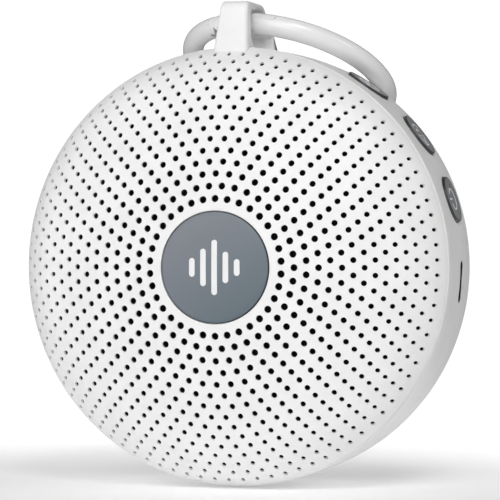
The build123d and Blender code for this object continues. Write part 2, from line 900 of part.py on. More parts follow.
def make_loop():
    """Arch on top of the case, with a neck through the seam and an anchor behind the wall."""
    arch_points = [
        (-27.2, 42.0),
        (-27.2, 43.4),
        (-25.5, 49.0),
        (-24.6, loop_top),
        (-13.4, loop_top),
        (-5.6, 46.2),
        (-4.0, 43.0),
        (-4.0, 42.0),
    ]
    hole_points = [
        (loop_hole_front, loop_hole_top),
        (-13.8, loop_hole_top),
        (-7.6, 46.0),
        (-7.4, 43.25),
        (loop_hole_front, 43.25),
    ]
    side = Plane(origin=(-loop_width / 2, 0, 0), x_dir=(0, 1, 0), z_dir=(1, 0, 0))
    arch_face = make_face(Polyline(*arch_points, close=True))
    arch_face = fillet(corners(arch_face, arch_points[2:3] + arch_points[5:6]), 3.0)
    arch_face = fillet(corners(arch_face, arch_points[3:4]), 4.0)
    arch_face = fillet(corners(arch_face, arch_points[4:5]), 2.6)
    hole_face = make_face(Polyline(*hole_points, close=True))
    hole_face = fillet(corners(hole_face, hole_points[2:3]), 0.8)
    hole_face = fillet(corners(hole_face, hole_points[3:4]), 1.5)
    hole_face = fillet(corners(hole_face, hole_points[0:2] + hole_points[4:]), 2.2)
    hole = extrude(side * hole_face, loop_width)
    arch = extrude(side * arch_face, loop_width)
    arch = fillet(arch.edges().filter_by(side_edge), 0.9) - hole
    arch = fillet(arch.edges().filter_by(hole_edge), 0.4)
    arch -= case_body(-loop_gap) & Pos(0, -16, 42) * Box(20, 40, 12)
    arch -= dome_body(-loop_gap)
    arch -= turned((0, -25.4), (43.15, -25.4), (43.2, -24.8), (0, -24.8))
    width, length, middle = loop_neck
    flush = side_radius(seam_y)
    neck_foot = 40.8
    neck = Pos(0, middle, (neck_foot + flush) / 2) * Box(width, length, flush + 1 - neck_foot)
    neck &= case_body(0.1)
    feet = Pos(0, middle, flush + 0.1) * Box(width, length, 1.6) - hole
    across, along, middle = loop_anchor
    anchor = Pos(0, middle, loop_anchor_foot + 1.5) * Box(across, along, 3.0)
    anchor &= case_body(wall + 0.12, -wall - 0.12)
    return arch + feet + neck + anchor


def corners(face, points):
    """The face's corners that lie at the given points."""
    found = []
    for x, y in points:
        found.append(min(face.vertices(), key=lambda item: hypot(item.X - x, item.Y - y)))
    return found


def side_edge(edge):
    """Edges of the arch's outline, but for the flat foot."""
    box = edge.bounding_box()
    return box.max.X - box.min.X < 1e-3 and box.max.Z > 42.1


def hole_edge(edge):
    """Edges of the loop's hole on the arch's two side faces."""
    box = edge.bounding_box()
    on_side = box.max.X - box.min.X < 1e-3 and abs(abs(box.min.X) - loop_width / 2) < 1e-3
    return on_side and box.min.Y > -23 and box.max.Y < -7


# ---------------------------------------------------------------- hanging ring


def ring_plane():
    """Plane of the ring: origin at its middle, x along the bar in the loop, y away from the loop."""
    yaw, dip, fall = radians(ring_yaw), radians(ring_dip), radians(ring_fall)
    along = Vector(cos(dip) * cos(yaw), -cos(dip) * sin(yaw), -sin(dip))
    level = Vector(0, 0, 1).cross(along).normalized()
    rise = along.cross(level)
    away = level * cos(fall) - rise * sin(fall)
    return Plane(origin=eye + away * ring_radius, x_dir=along, z_dir=along.cross(away))


def ring_point(angle):
    """Point of the bar's centre line in the ring's own plane, by angle from the loop."""
    return ring_radius * sin(radians(angle)), -ring_radius * cos(radians(angle))


def bar_arc(start, end):
    """Stretch of the ring's bar between two angles from the loop."""
    section = Plane.XZ * Pos(ring_radius, 0) * Circle(ring_bar)
    bar = revolve(section, Axis.Z, end - start)
    return Rot(0, 0, start - 90) * bar


def about_pin(radius, low, high):
    """Cylinder about the hinge pin, between two heights above the ring's plane."""
    x, y = ring_point(-link_half)
    return Pos(x, y, (low + high) / 2) * Cylinder(radius, high - low)


def make_ring():
    """The short link in the loop, the hoop that opens, and the pin between them."""
    reach = ring_bar + 1
    cheek = tongue_half + cheek_gap
    clear = knuckle_radius + knuckle_gap
    nose = bar_arc(-link_half - 12, -link_half + 12)
    right = Pos(20 - ring_radius * sin(radians(link_half)) + 0.5, -20, 0) * Box(40, 30, 10)
    split = (lap_level - lap_gap / 2, lap_level + lap_gap / 2)
    link = bar_arc(-link_half, 30) & about_pin(lap_far, -reach, reach)
    link -= right & (about_pin(lap_far + 2, -reach, split[1]) - about_pin(lap_near, -reach - 1, split[1] + 1))
    link -= about_pin(clear, -reach, -tongue_half)
    link -= about_pin(clear, tongue_half, reach)
    link += nose & about_pin(knuckle_radius, -tongue_half, tongue_half)
    link -= about_pin(hinge_pin + 0.06, -reach, reach)
    hoop = bar_arc(4, 352)
    past_pin = Rot(0, 0, -link_half) * Pos(4, -ring_radius, 0) * Box(8, 8, 8)
    hoop -= past_pin - about_pin(knuckle_radius, -5, 5)
    hoop -= right & about_pin(lap_near + clasp_gap, -reach, reach)
    hoop -= right & about_pin(lap_far + clasp_gap, split[0], reach)
    hoop -= about_pin(clear + 0.1, -cheek, cheek)
    hoop -= about_pin(hinge_pin, -reach, reach)
    pin = about_pin(hinge_pin, -ring_bar + 0.1, ring_bar - 0.1)
    plane = ring_plane()
    return plane * link, plane * hoop, plane * pin


# ---------------------------------------------------------------- all pieces


def build():
    save("front_grille", make_front_grille())
    badge, inlay = make_badge()
    save("badge", badge)
    save("badge_bars", inlay)
    save("grille_cloth", make_cloth())
    save("front_case", make_front_case())
    save("rear_case", make_rear_case())
    save("speaker_gasket", make_gasket())
    save("speaker_surround", make_surround())
    save("speaker_frame", make_frame())
    save("speaker_cone", make_cone())
    save("speaker_dust_cap", make_dust_cap())
    save("voice_coil", make_voice_coil())
    save("speaker_spider", make_spider())
    save("magnet_cup", make_cup())
    save("speaker_magnet", make_magnet())
    save("pole_plate", make_pole_plate())
    save("speaker_terminals", make_terminals())
    save("speaker_screws", make_speaker_screws())
    save("main_board", make_board())
    save("board_screws", make_board_screws())
    save("board_chips", make_chips())
    save("board_coil", board_block(coil_place))
    save("charging_socket", make_socket())
    save("socket_tongue", make_socket_tongue())
    save("button_switches", make_switches())
    for name, angle in button_angles.items():
        save(f"button_{name}", make_button(angle))
        save(f"plunger_{name}", make_plunger(angle))
    save("battery_cell", make_cell())
    save("battery_pads", make_cell_pads())
    save("battery_plug", board_block(cell_plug_place, back=True))
    save("battery_leads", make_cell_leads())
    save("speaker_plug", board_block(speaker_plug_place))
    save("speaker_leads", make_speaker_leads())
    save("case_screws", make_case_screws())
    save("hanging_loop", make_loop())
    link, hoop, pin = make_ring()
    save("ring_link", link)
    save("ring_hoop", hoop)
    save("ring_pin", pin)


build()
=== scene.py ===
import bpy
import bmesh
from math import asin, atan2, cos, hypot, pi, radians, sin, sqrt, tan
from mathutils import Matrix, Vector


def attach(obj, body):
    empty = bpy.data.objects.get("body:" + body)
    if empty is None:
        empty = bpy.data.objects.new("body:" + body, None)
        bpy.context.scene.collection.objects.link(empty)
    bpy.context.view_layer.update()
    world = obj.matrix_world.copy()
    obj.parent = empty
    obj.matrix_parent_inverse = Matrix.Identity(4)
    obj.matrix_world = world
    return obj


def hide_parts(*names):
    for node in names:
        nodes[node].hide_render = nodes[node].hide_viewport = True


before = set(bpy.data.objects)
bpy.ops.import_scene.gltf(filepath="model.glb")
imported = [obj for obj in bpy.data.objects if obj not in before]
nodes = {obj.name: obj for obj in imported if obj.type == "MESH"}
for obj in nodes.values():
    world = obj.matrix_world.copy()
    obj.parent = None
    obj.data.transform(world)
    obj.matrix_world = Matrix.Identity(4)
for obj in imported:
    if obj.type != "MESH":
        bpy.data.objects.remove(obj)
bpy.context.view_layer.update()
mm = 0.001

# the body's outline, in mm: the back lies in the plane y = 0 and the dome faces -Y
body = {
    "depth": 37.5,
    "crownRadius": 156.8, "crownEdge": 22.8,
    "shoulderRadius": 61.5, "shoulderEdge": 35.4,
    "rimRadius": 13.2, "domeEdge": 43.0,
    "widest": 43.35, "widestY": -14.0, "lean": 1.4, "sideArc": 150.0,
    "cornerStart": 3.2, "cornerRadius": 6.0,
    "seamY": -14.0, "crease": 0.25, "wall": 2.0,
    "turnSteps": 240,
}


def onArc(centre, radius, turn):
    return (centre[0] + radius * sin(turn), centre[1] - radius * cos(turn))


def domeArcs():
    # centre, radius, first and last turn of the crown, the shoulder and the rim
    crownTurn = asin(body["crownEdge"] / body["crownRadius"])
    crown = (0.0, body["crownRadius"] - body["depth"])
    step = body["crownRadius"] - body["shoulderRadius"]
    shoulder = (crown[0] + step * sin(crownTurn), crown[1] - step * cos(crownTurn))
    shoulderTurn = asin((body["shoulderEdge"] - shoulder[0]) / body["shoulderRadius"])
    step = body["shoulderRadius"] - body["rimRadius"]
    rim = (shoulder[0] + step * sin(shoulderTurn), shoulder[1] - step * cos(shoulderTurn))
    rimTurn = asin((body["domeEdge"] - rim[0]) / body["rimRadius"])
    return ((crown, body["crownRadius"], 0.0, crownTurn),
            (shoulder, body["shoulderRadius"], crownTurn, shoulderTurn),
            (rim, body["rimRadius"], shoulderTurn, rimTurn))


arcs = domeArcs()
domeEnd = onArc(arcs[2][0], arcs[2][1], arcs[2][3])
bandTop = domeEnd[1] + body["crease"]
sideCentre = (body["widest"] - body["sideArc"], body["widestY"])
leanTurn = radians(body["lean"])
sideEnd = (sideCentre[0] + body["sideArc"] * cos(leanTurn), sideCentre[1] - body["sideArc"] * sin(leanTurn))
cornerTurn = radians(body["cornerStart"])
cornerPoint = (sideCentre[0] + body["sideArc"] * cos(cornerTurn),
               sideCentre[1] + body["sideArc"] * sin(cornerTurn))
cornerCentre = (cornerPoint[0] - body["cornerRadius"] * cos(cornerTurn),
                cornerPoint[1] - body["cornerRadius"] * sin(cornerTurn))


def domeY(distance):
    for centre, radius, first, last in arcs:
        if distance <= centre[0] + radius * sin(last) + 1e-9:
            return centre[1] - sqrt(radius ** 2 - (distance - centre[0]) ** 2)
    return domeEnd[1]


def domeTurn(distance):
    # angle between the dome's normal and its axis at a distance from the axis
    for centre, radius, first, last in arcs:
        if distance <= centre[0] + radius * sin(last) + 1e-9:
            return asin((distance - centre[0]) / radius)
    return arcs[2][3]


def sideRadius(y):
    # outer radius of the case at a height above the back
    if y < sideEnd[1]:
        return sideEnd[0] + (y - sideEnd[1]) * tan(leanTurn)
    if y < cornerPoint[1]:
        return sideCentre[0] + sqrt(body["sideArc"] ** 2 - (y - sideCentre[1]) ** 2)
    return cornerCentre[0] + sqrt(max(0, body["cornerRadius"] ** 2 - (y - cornerCentre[1]) ** 2))


def polar(radius, angle):
    return radius * cos(radians(angle)), radius * sin(radians(angle))


# mesh helpers
def pieceFrom(name, bm, sharpAngle=32.0):
    # hands a finished bmesh in mm over to an object in metres
    bmesh.ops.transform(bm, matrix=Matrix.Scale(mm, 4), verts=bm.verts)
    bm.normal_update()
    for face in bm.faces:
        face.smooth = True
    for edge in bm.edges:
        edge.smooth = len(edge.link_faces) == 2 and edge.calc_face_angle(0.0) < radians(sharpAngle)
    mesh = bpy.data.meshes.new(name)
    bm.to_mesh(mesh)
    bm.free()
    made = bpy.data.objects.new(name, mesh)
    bpy.context.scene.collection.objects.link(made)
    return made


def turnedMesh(profile, steps=None, angle=360.0):
    # spins a closed outline of (radius, y) points about the body's axis
    bm = bmesh.new()
    ring = [bm.verts.new((r, y, 0)) for r, y in profile]
    for here, after in zip(ring, ring[1:] + ring[:1]):
        bm.edges.new((here, after))
    bmesh.ops.spin(bm, geom=bm.verts[:] + bm.edges[:], cent=(0, 0, 0), axis=(0, 1, 0), dvec=(0, 0, 0),
                   angle=radians(angle), steps=steps or body["turnSteps"], use_merge=True,
                   use_duplicate=False)
    bmesh.ops.remove_doubles(bm, verts=bm.verts, dist=1e-4)
    bmesh.ops.recalc_face_normals(bm, faces=bm.faces)
    return bm


def arcPoints(centre, radius, first, last, count):
    # points round a centre, turns measured from +radius towards +y
    turns = [first + (last - first) * i / count for i in range(count + 1)]
    return [(centre[0] + radius * cos(t), centre[1] + radius * sin(t)) for t in turns]


def outward(angle, y):
    # matrix whose z looks outwards from the body's axis at an angle, with x round the body
    a = radians(angle)
    m = Matrix(((-sin(a), 0, cos(a), 0), (0, -1, 0, y), (cos(a), 0, sin(a), 0), (0, 0, 0, 1)))
    return m


def rodMesh(radius, low, high, sides=64, bevel=0.0):
    bm = bmesh.new()
    bmesh.ops.create_cone(bm, cap_ends=True, segments=sides, radius1=radius, radius2=radius, depth=high - low)
    bmesh.ops.translate(bm, verts=bm.verts, vec=(0, 0, (low + high) / 2))
    if bevel:
        rims = [e for e in bm.edges if len({round(v.co.z, 5) for v in e.verts}) == 1]
        bmesh.ops.bevel(bm, geom=rims, offset=bevel, segments=3, profile=0.5, affect="EDGES", material=-1)
    return bm


def slotMesh(width, height, low, high, sides=32):
    # rounded slot: a disc pulled apart along x
    bm = rodMesh(height / 2, low, high, sides)
    shift = (width - height) / 2
    for vert in bm.verts:
        vert.co.x += shift if vert.co.x > 0 else -shift
    return bm


def boxMesh(sizeX, sizeY, sizeZ, centre):
    bm = bmesh.new()
    bmesh.ops.create_cube(bm, size=1.0)
    bmesh.ops.scale(bm, vec=(sizeX, sizeY, sizeZ), verts=bm.verts)
    bmesh.ops.translate(bm, vec=centre, verts=bm.verts)
    return bm


def carve(target, cutters, operation="DIFFERENCE"):
    # cuts the target with the given meshes and clears the cutters away
    for index, cutter in enumerate(cutters):
        tool = pieceFrom(f"tool{index}", cutter)
        cut = target.modifiers.new("cut", "BOOLEAN")
        cut.operation = operation
        cut.solver = "EXACT"
        cut.object = tool
        shape = bpy.data.meshes.new_from_object(target.evaluated_get(bpy.context.evaluated_depsgraph_get()))
        target.modifiers.clear()
        old = target.data
        target.data = shape
        bpy.data.meshes.remove(old)
        bpy.data.objects.remove(tool)
    return target


def refine(target, sharpAngle=32.0, bevel=0.0, merge=2e-6):
    # joins loose points after cutting, rounds hard edges and marks what stays sharp
    bm = bmesh.new()
    bm.from_mesh(target.data)
    bmesh.ops.remove_doubles(bm, verts=bm.verts, dist=merge)
    bmesh.ops.dissolve_degenerate(bm, edges=bm.edges, dist=merge)
    if bevel:
        hard = [e for e in bm.edges if len(e.link_faces) == 2 and e.calc_face_angle(0.0) > radians(40)]
        bmesh.ops.bevel(bm, geom=hard, offset=bevel * mm, segments=2, profile=0.5, affect="EDGES",
                        material=-1,
                        clamp_overlap=True)
    bm.normal_update()
    for face in bm.faces:
        face.smooth = True
    for edge in bm.edges:
        edge.smooth = len(edge.link_faces) == 2 and edge.calc_face_angle(0.0) < radians(sharpAngle)
    bm.to_mesh(target.data)
    bm.free()
    return target


def settle(made, bodyName, slotName, material, *standsFor):
    if made.data.materials:
        made.data.materials.clear()
    made.data.materials.append(material)
    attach(made, bodyName)
    if standsFor:
        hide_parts(*standsFor)
    return made


# finishes
def newFinish(name):
    material = bpy.data.materials.new(name)
    material.use_nodes = True
    tree = material.node_tree
    tree.nodes.clear()
    output = tree.nodes.new("ShaderNodeOutputMaterial")
    shader = tree.nodes.new("ShaderNodeBsdfPrincipled")
    tree.links.new(shader.outputs["BSDF"], output.inputs["Surface"])
    place = tree.nodes.new("ShaderNodeTexCoord")
    return material, tree, shader, place


def noiseNode(tree, place, scale, detail=3.0, rough=0.5, stretch=None):
    node = tree.nodes.new("ShaderNodeTexNoise")
    node.inputs["Scale"].default_value = scale
    node.inputs["Detail"].default_value = detail
    node.inputs["Roughness"].default_value = rough
    if stretch:
        mapping = tree.nodes.new("ShaderNodeMapping")
        mapping.inputs["Scale"].default_value = stretch
        tree.links.new(place.outputs["Object"], mapping.inputs["Vector"])
        tree.links.new(mapping.outputs["Vector"], node.inputs["Vector"])
    else:
        tree.links.new(place.outputs["Object"], node.inputs["Vector"])
    return node


def ramp(tree, source, low, high, colourLow, colourHigh):
    node = tree.nodes.new("ShaderNodeValToRGB")
    node.color_ramp.elements[0].position = low
    node.color_ramp.elements[0].color = (*colourLow, 1)
    node.color_ramp.elements[1].position = high
    node.color_ramp.elements[1].color = (*colourHigh, 1)
    tree.links.new(source, node.inputs["Fac"])
    return node.outputs["Color"]


def spread(tree, source, low, high):
    node = tree.nodes.new("ShaderNodeMapRange")
    node.inputs["From Min"].default_value = 0.3
    node.inputs["From Max"].default_value = 0.7
    node.inputs["To Min"].default_value = low
    node.inputs["To Max"].default_value = high
    tree.links.new(source, node.inputs["Value"])
    return node.outputs["Result"]


def relief(tree, shader, height, strength, distance):
    node = tree.nodes.new("ShaderNodeBump")
    node.inputs["Strength"].default_value = strength
    node.inputs["Distance"].default_value = distance
    tree.links.new(height, node.inputs["Height"])
    tree.links.new(node.outputs["Normal"], shader.inputs["Normal"])


def mouldedPlastic(name, light, dark, rough=(0.38, 0.48), grain=5200.0, depth=0.000012, mottle=160.0,
                   coat=0.0):
    # moulded plastic: faint mottling, uneven gloss and a fine spark-eroded grain
    material, tree, shader, place = newFinish(name)
    patches = noiseNode(tree, place, mottle, 4.0)
    tree.links.new(ramp(tree, patches.outputs["Fac"], 0.3, 0.7, dark, light), shader.inputs["Base Color"])
    handling = noiseNode(tree, place, mottle * 3.1, 3.0)
    tree.links.new(spread(tree, handling.outputs["Fac"], *rough), shader.inputs["Roughness"])
    fine = noiseNode(tree, place, grain, 2.0, 0.6)
    relief(tree, shader, fine.outputs["Fac"], 0.5, depth)
    shader.inputs["IOR"].default_value = 1.49
    if coat:
        shader.inputs["Coat Weight"].default_value = coat
        shader.inputs["Coat Roughness"].default_value = 0.12
    return material


def wovenCloth(name, light, dark, pitch=1500.0):
    # two crossed sets of threads, over and under
    material, tree, shader, place = newFinish(name)
    split = tree.nodes.new("ShaderNodeSeparateXYZ")
    tree.links.new(place.outputs["Object"], split.inputs["Vector"])
    waves = []
    for axis, phase in (("X", 0.0), ("Z", 1.5708)):
        node = tree.nodes.new("ShaderNodeMath")
        node.operation = "MULTIPLY_ADD"
        node.inputs[1].default_value = pitch * 6.2832
        node.inputs[2].default_value = phase
        tree.links.new(split.outputs[axis], node.inputs[0])
        wave = tree.nodes.new("ShaderNodeMath")
        wave.operation = "SINE"
        tree.links.new(node.outputs[0], wave.inputs[0])
        waves.append(wave)
    cross = tree.nodes.new("ShaderNodeMath")
    cross.operation = "MULTIPLY"
    tree.links.new(waves[0].outputs[0], cross.inputs[0])
    tree.links.new(waves[1].outputs[0], cross.inputs[1])
    level = tree.nodes.new("ShaderNodeMapRange")
    level.inputs["From Min"].default_value = -1.0
    level.inputs["From Max"].default_value = 1.0
    tree.links.new(cross.outputs[0], level.inputs["Value"])
    tree.links.new(ramp(tree, level.outputs["Result"], 0.2, 0.8, dark, light), shader.inputs["Base Color"])
    shader.inputs["Roughness"].default_value = 0.9
    relief(tree, shader, level.outputs["Result"], 0.8, 0.0001)
    return material


def metalFinish(name, light, dark, rough=(0.25, 0.4), stretch=(1, 1, 1), scale=900.0, metallic=1.0):
    material, tree, shader, place = newFinish(name)
    lines = noiseNode(tree, place, scale, 4.0, 0.6, stretch)
    tree.links.new(ramp(tree, lines.outputs["Fac"], 0.3, 0.7, dark, light), shader.inputs["Base Color"])
    tree.links.new(spread(tree, lines.outputs["Fac"], *rough), shader.inputs["Roughness"])
    shader.inputs["Metallic"].default_value = metallic
    relief(tree, shader, lines.outputs["Fac"], 0.3, 0.00001)
    return material


def slateWithPaintedShade(name):
    # satin slate with painted shade: lighter at the upper left and darker at the lower right, as the light
    # falls, and a painted shadow that darkens the rim where the disc meets its pocket
    material, tree, shader, place = newFinish(name)
    split = tree.nodes.new("ShaderNodeSeparateXYZ")
    tree.links.new(place.outputs["Object"], split.inputs["Vector"])
    # painted shade: the tone follows z minus x, light at the upper left, dark at the lower right
    slope = tree.nodes.new("ShaderNodeMath")
    slope.operation = "SUBTRACT"
    tree.links.new(split.outputs["Z"], slope.inputs[0])
    tree.links.new(split.outputs["X"], slope.inputs[1])
    level = tree.nodes.new("ShaderNodeMapRange")
    level.inputs["From Min"].default_value = -0.014
    level.inputs["From Max"].default_value = 0.014
    tree.links.new(slope.outputs[0], level.inputs["Value"])
    tone = ramp(tree, level.outputs["Result"], 0.0, 1.0, (0.10, 0.135, 0.16), (0.2, 0.215, 0.245))
    flat = tree.nodes.new("ShaderNodeVectorMath")
    flat.operation = "MULTIPLY"
    flat.inputs[1].default_value = (1, 0, 1)
    tree.links.new(place.outputs["Object"], flat.inputs[0])
    reach = tree.nodes.new("ShaderNodeVectorMath")
    reach.operation = "LENGTH"
    tree.links.new(flat.outputs["Vector"], reach.inputs[0])
    # painted shadow at the rim: the colour falls to 0.3 of itself in the last 0.14 mm before the pocket
    edge = tree.nodes.new("ShaderNodeMapRange")
    edge.inputs["From Min"].default_value = 0.01052
    edge.inputs["From Max"].default_value = 0.01066
    edge.inputs["To Min"].default_value = 1.0
    edge.inputs["To Max"].default_value = 0.3
    tree.links.new(reach.outputs["Value"], edge.inputs["Value"])
    shade = tree.nodes.new("ShaderNodeVectorMath")
    shade.operation = "SCALE"
    tree.links.new(tone, shade.inputs[0])
    tree.links.new(edge.outputs["Result"], shade.inputs["Scale"])
    tree.links.new(shade.outputs["Vector"], shader.inputs["Base Color"])
    handling = noiseNode(tree, place, 500.0, 3.0)
    tree.links.new(spread(tree, handling.outputs["Fac"], 0.36, 0.44), shader.inputs["Roughness"])
    fine = noiseNode(tree, place, 6000.0, 2.0, 0.6)
    relief(tree, shader, fine.outputs["Fac"], 0.4, 0.00001)
    return material


def holeWallsPaintedShade(name, light, dark, start):
    # walls of the sound holes: shell colour near the dome's face, then near-black painted shade from a depth
    # inwards
    material, tree, shader, place = newFinish(name)
    split = tree.nodes.new("ShaderNodeSeparateXYZ")
    tree.links.new(place.outputs["Object"], split.inputs["Vector"])

    def sums(operation, first, second):
        node = tree.nodes.new("ShaderNodeMath")
        node.operation = operation
        for socket, value in zip(node.inputs, (first, second)):
            if isinstance(value, float):
                socket.default_value = value
            else:
                tree.links.new(value, socket)
        return node.outputs[0]

    def span(first, second):
        return sums("SQRT", sums("ADD", sums("MULTIPLY", first, first), sums("MULTIPLY", second, second)),
                    0.0)

    reach = span(split.outputs["X"], split.outputs["Z"])
    depth = None
    for centre, radius, first, last in arcs:
        fromCentre = span(sums("SUBTRACT", reach, centre[0] * mm),
                          sums("SUBTRACT", split.outputs["Y"], centre[1] * mm))
        here = sums("SUBTRACT", radius * mm, fromCentre)
        if depth is None:
            depth = here
        else:
            outside = sums("GREATER_THAN", reach, (centre[0] + radius * sin(first)) * mm)
            depth = sums("ADD", depth, sums("MULTIPLY", outside, sums("SUBTRACT", here, depth)))
    # painted shade: the wall turns near black over 0.04 mm once it lies deeper than start
    level = tree.nodes.new("ShaderNodeMapRange")
    level.inputs["From Min"].default_value = start
    level.inputs["From Max"].default_value = start + 0.00004
    tree.links.new(depth, level.inputs["Value"])
    tree.links.new(ramp(tree, level.outputs["Result"], 0.0, 1.0, light, dark), shader.inputs["Base Color"])
    shader.inputs["Roughness"].default_value = 0.6
    return material


# hole walls with near-black painted shade from 0.4 mm below the dome's face
shadedHoleWalls = holeWallsPaintedShade("shadedHoleWalls", (0.84, 0.838, 0.836), (0.012, 0.012, 0.013), 0.0004)
shellWhite = mouldedPlastic("shellWhite", (0.86, 0.858, 0.856), (0.82, 0.818, 0.816), grain=3000.0,
                            depth=0.00003)
ringWhite = mouldedPlastic("ringWhite", (0.83, 0.83, 0.832), (0.80, 0.80, 0.802), (0.16, 0.24), 4000.0,
                           0.000004, 90.0, 0.3)
# slate badge with painted shade across it and a painted shadow round its rim
paintedShadeSlate = slateWithPaintedShade("paintedShadeSlate")
inlayPale = mouldedPlastic("inlayPale", (0.84, 0.84, 0.85), (0.80, 0.80, 0.81), (0.34, 0.42))
clothBlack = wovenCloth("clothBlack", (0.02, 0.02, 0.022), (0.006, 0.006, 0.007))
buttonGrey = mouldedPlastic("buttonGrey", (0.225, 0.232, 0.245), (0.195, 0.202, 0.212), (0.26, 0.36),
                            5200.0, 0.000008)
# near-black cap body: painted shade on the caps' side walls round the grey face
capPaintedShade = mouldedPlastic("capPaintedShade", (0.035, 0.036, 0.038), (0.024, 0.025, 0.026), (0.3, 0.4))
iconLight = mouldedPlastic("iconLight", (0.84, 0.85, 0.87), (0.78, 0.79, 0.81), (0.3, 0.4))
socketBlack = mouldedPlastic("socketBlack", (0.022, 0.022, 0.024), (0.014, 0.014, 0.015), (0.36, 0.5))
socketSteel = metalFinish("socketSteel", (0.12, 0.12, 0.125), (0.07, 0.07, 0.073), (0.35, 0.5), (1, 8, 1))
screwSteel = metalFinish("screwSteel", (0.55, 0.55, 0.56), (0.4, 0.4, 0.41), (0.28, 0.42))
platedSteel = metalFinish("platedSteel", (0.6, 0.6, 0.62), (0.48, 0.48, 0.5), (0.22, 0.34), (1, 6, 1))
paintedSteel = metalFinish("paintedSteel", (0.03, 0.03, 0.033), (0.018, 0.018, 0.02), (0.4, 0.55),
                           metallic=0.2)
foamBlack = mouldedPlastic("foamBlack", (0.035, 0.035, 0.037), (0.012, 0.012, 0.013), (0.85, 0.95), 2600.0,
                           0.00012)
rubberBlack = mouldedPlastic("rubberBlack", (0.03, 0.03, 0.032), (0.018, 0.018, 0.02), (0.5, 0.62), 3000.0,
                             0.00002)
pulpGrey = mouldedPlastic("pulpGrey", (0.055, 0.055, 0.06), (0.03, 0.03, 0.033), (0.75, 0.9), 3600.0, 0.00008)
copperWire = metalFinish("copperWire", (0.75, 0.36, 0.2), (0.55, 0.24, 0.12), (0.25, 0.36), (1, 30, 1))
spiderCloth = wovenCloth("spiderCloth", (0.55, 0.38, 0.18), (0.34, 0.22, 0.1), 1800.0)
tagBoard = mouldedPlastic("tagBoard", (0.32, 0.19, 0.09), (0.24, 0.14, 0.06), (0.55, 0.7))
boardGreen = mouldedPlastic("boardGreen", (0.02, 0.17, 0.07), (0.012, 0.12, 0.05), (0.28, 0.4), 2200.0,
                            0.00002, 400.0)
cellFoil = metalFinish("cellFoil", (0.62, 0.62, 0.64), (0.52, 0.52, 0.54), (0.2, 0.5), scale=260.0)
plugIvory = mouldedPlastic("plugIvory", (0.78, 0.73, 0.6), (0.7, 0.65, 0.52), (0.3, 0.4))
wireRed = mouldedPlastic("wireRed", (0.55, 0.02, 0.016), (0.42, 0.014, 0.01), (0.35, 0.45))
print("finishes ready")

# dome with its rings of holes
dome = {
    "rings": 15, "firstHoles": 34, "holesAdded": 4,
    "firstRadius": 13.21, "pitch": 2.472, "pitchLoss": 0.0319,
    "firstHole": 1.43, "lastHole": 0.78,
    "skin": 1.5, "strip": 0.12, "rimStart": 42.25,
    "pocket": 10.9, "pocketEdge": 0.12, "pocketDepth": 0.95,
}


def holeRings():
    rings = []
    for index in range(dome["rings"]):
        radius = dome["firstRadius"] + dome["pitch"] * index - dome["pitchLoss"] * index ** 2
        share = index / (dome["rings"] - 1)
        hole = (dome["firstHole"] + (dome["lastHole"] - dome["firstHole"]) * share) / 2
        rings.append((radius, dome["firstHoles"] + dome["holesAdded"] * index, hole, 90 * ((index + 1) % 2)))
    return rings


def punchedRing(bm, radius, count, hole, start, inner, outer):
    # an annulus of cells, each with a round hole; returns its inner and outer edge loops
    cells = 6
    first = radians(start - 180 / count)
    line = [bm.verts.new(((inner + (outer - inner) * i / cells) * cos(first), 0,
                          (inner + (outer - inner) * i / cells) * sin(first))) for i in range(cells + 1)]
    edges = [bm.edges.new(pair) for pair in zip(line, line[1:])]
    before = set(bm.verts) - set(line)
    bmesh.ops.spin(bm, geom=line + edges, cent=(0, 0, 0), axis=(0, -1, 0), dvec=(0, 0, 0), angle=2 * pi,
                   steps=cells * count, use_merge=True, use_duplicate=False)
    made = [v for v in bm.verts if v not in before]
    inside, rim = [], []
    low, high = set(), set()
    for vert in made:
        distance = hypot(vert.co.x, vert.co.z)
        row = round((distance - inner) / (outer - inner) * cells)
        turn = (atan2(vert.co.z, vert.co.x) - first) % (2 * pi)
        column = round(turn / (2 * pi) * cells * count) % (cells * count)
        across, along = column % cells - 3, row - 3
        if row == 0:
            low.add(vert)
        if row == cells:
            high.add(vert)
        if max(abs(across), abs(along)) < 2:
            inside.append(vert)
        elif max(abs(across), abs(along)) == 2:
            rim.append((vert, across, along, first + (column - across) / (cells * count) * 2 * pi))
    for vert, across, along, middle in rim:
        if abs(along) == 2:
            swing = 90 - across * 22.5 if along > 0 else -90 + across * 22.5
        else:
            swing = along * 22.5 if across > 0 else 180 - along * 22.5
        out = radius + hole * sin(radians(swing))
        side = hole * cos(radians(swing))
        vert.co = Vector((out * cos(middle) - side * sin(middle), 0, out * sin(middle) + side * cos(middle)))
    bmesh.ops.delete(bm, geom=inside, context="VERTS")
    lowEdges = list({e for v in low for e in v.link_edges if e.verts[0] in low and e.verts[1] in low})
    highEdges = list({e for v in high for e in v.link_edges if e.verts[0] in high and e.verts[1] in high})
    return lowEdges, highEdges


def growLoop(bm, edges, radius, y=None):
    # carries an edge loop on to a new radius; y stays on the dome unless it is given
    made = bmesh.ops.extrude_edge_only(bm, edges=edges)["geom"]
    for vert in [g for g in made if isinstance(g, bmesh.types.BMVert)]:
        scale = radius / hypot(vert.co.x, vert.co.z)
        vert.co.x *= scale
        vert.co.z *= scale
        vert.co.y = 0 if y is None else y
    return [g for g in made if isinstance(g, bmesh.types.BMEdge) and
            all(abs(hypot(v.co.x, v.co.z) - radius) < 1e-4 for v in g.verts)]


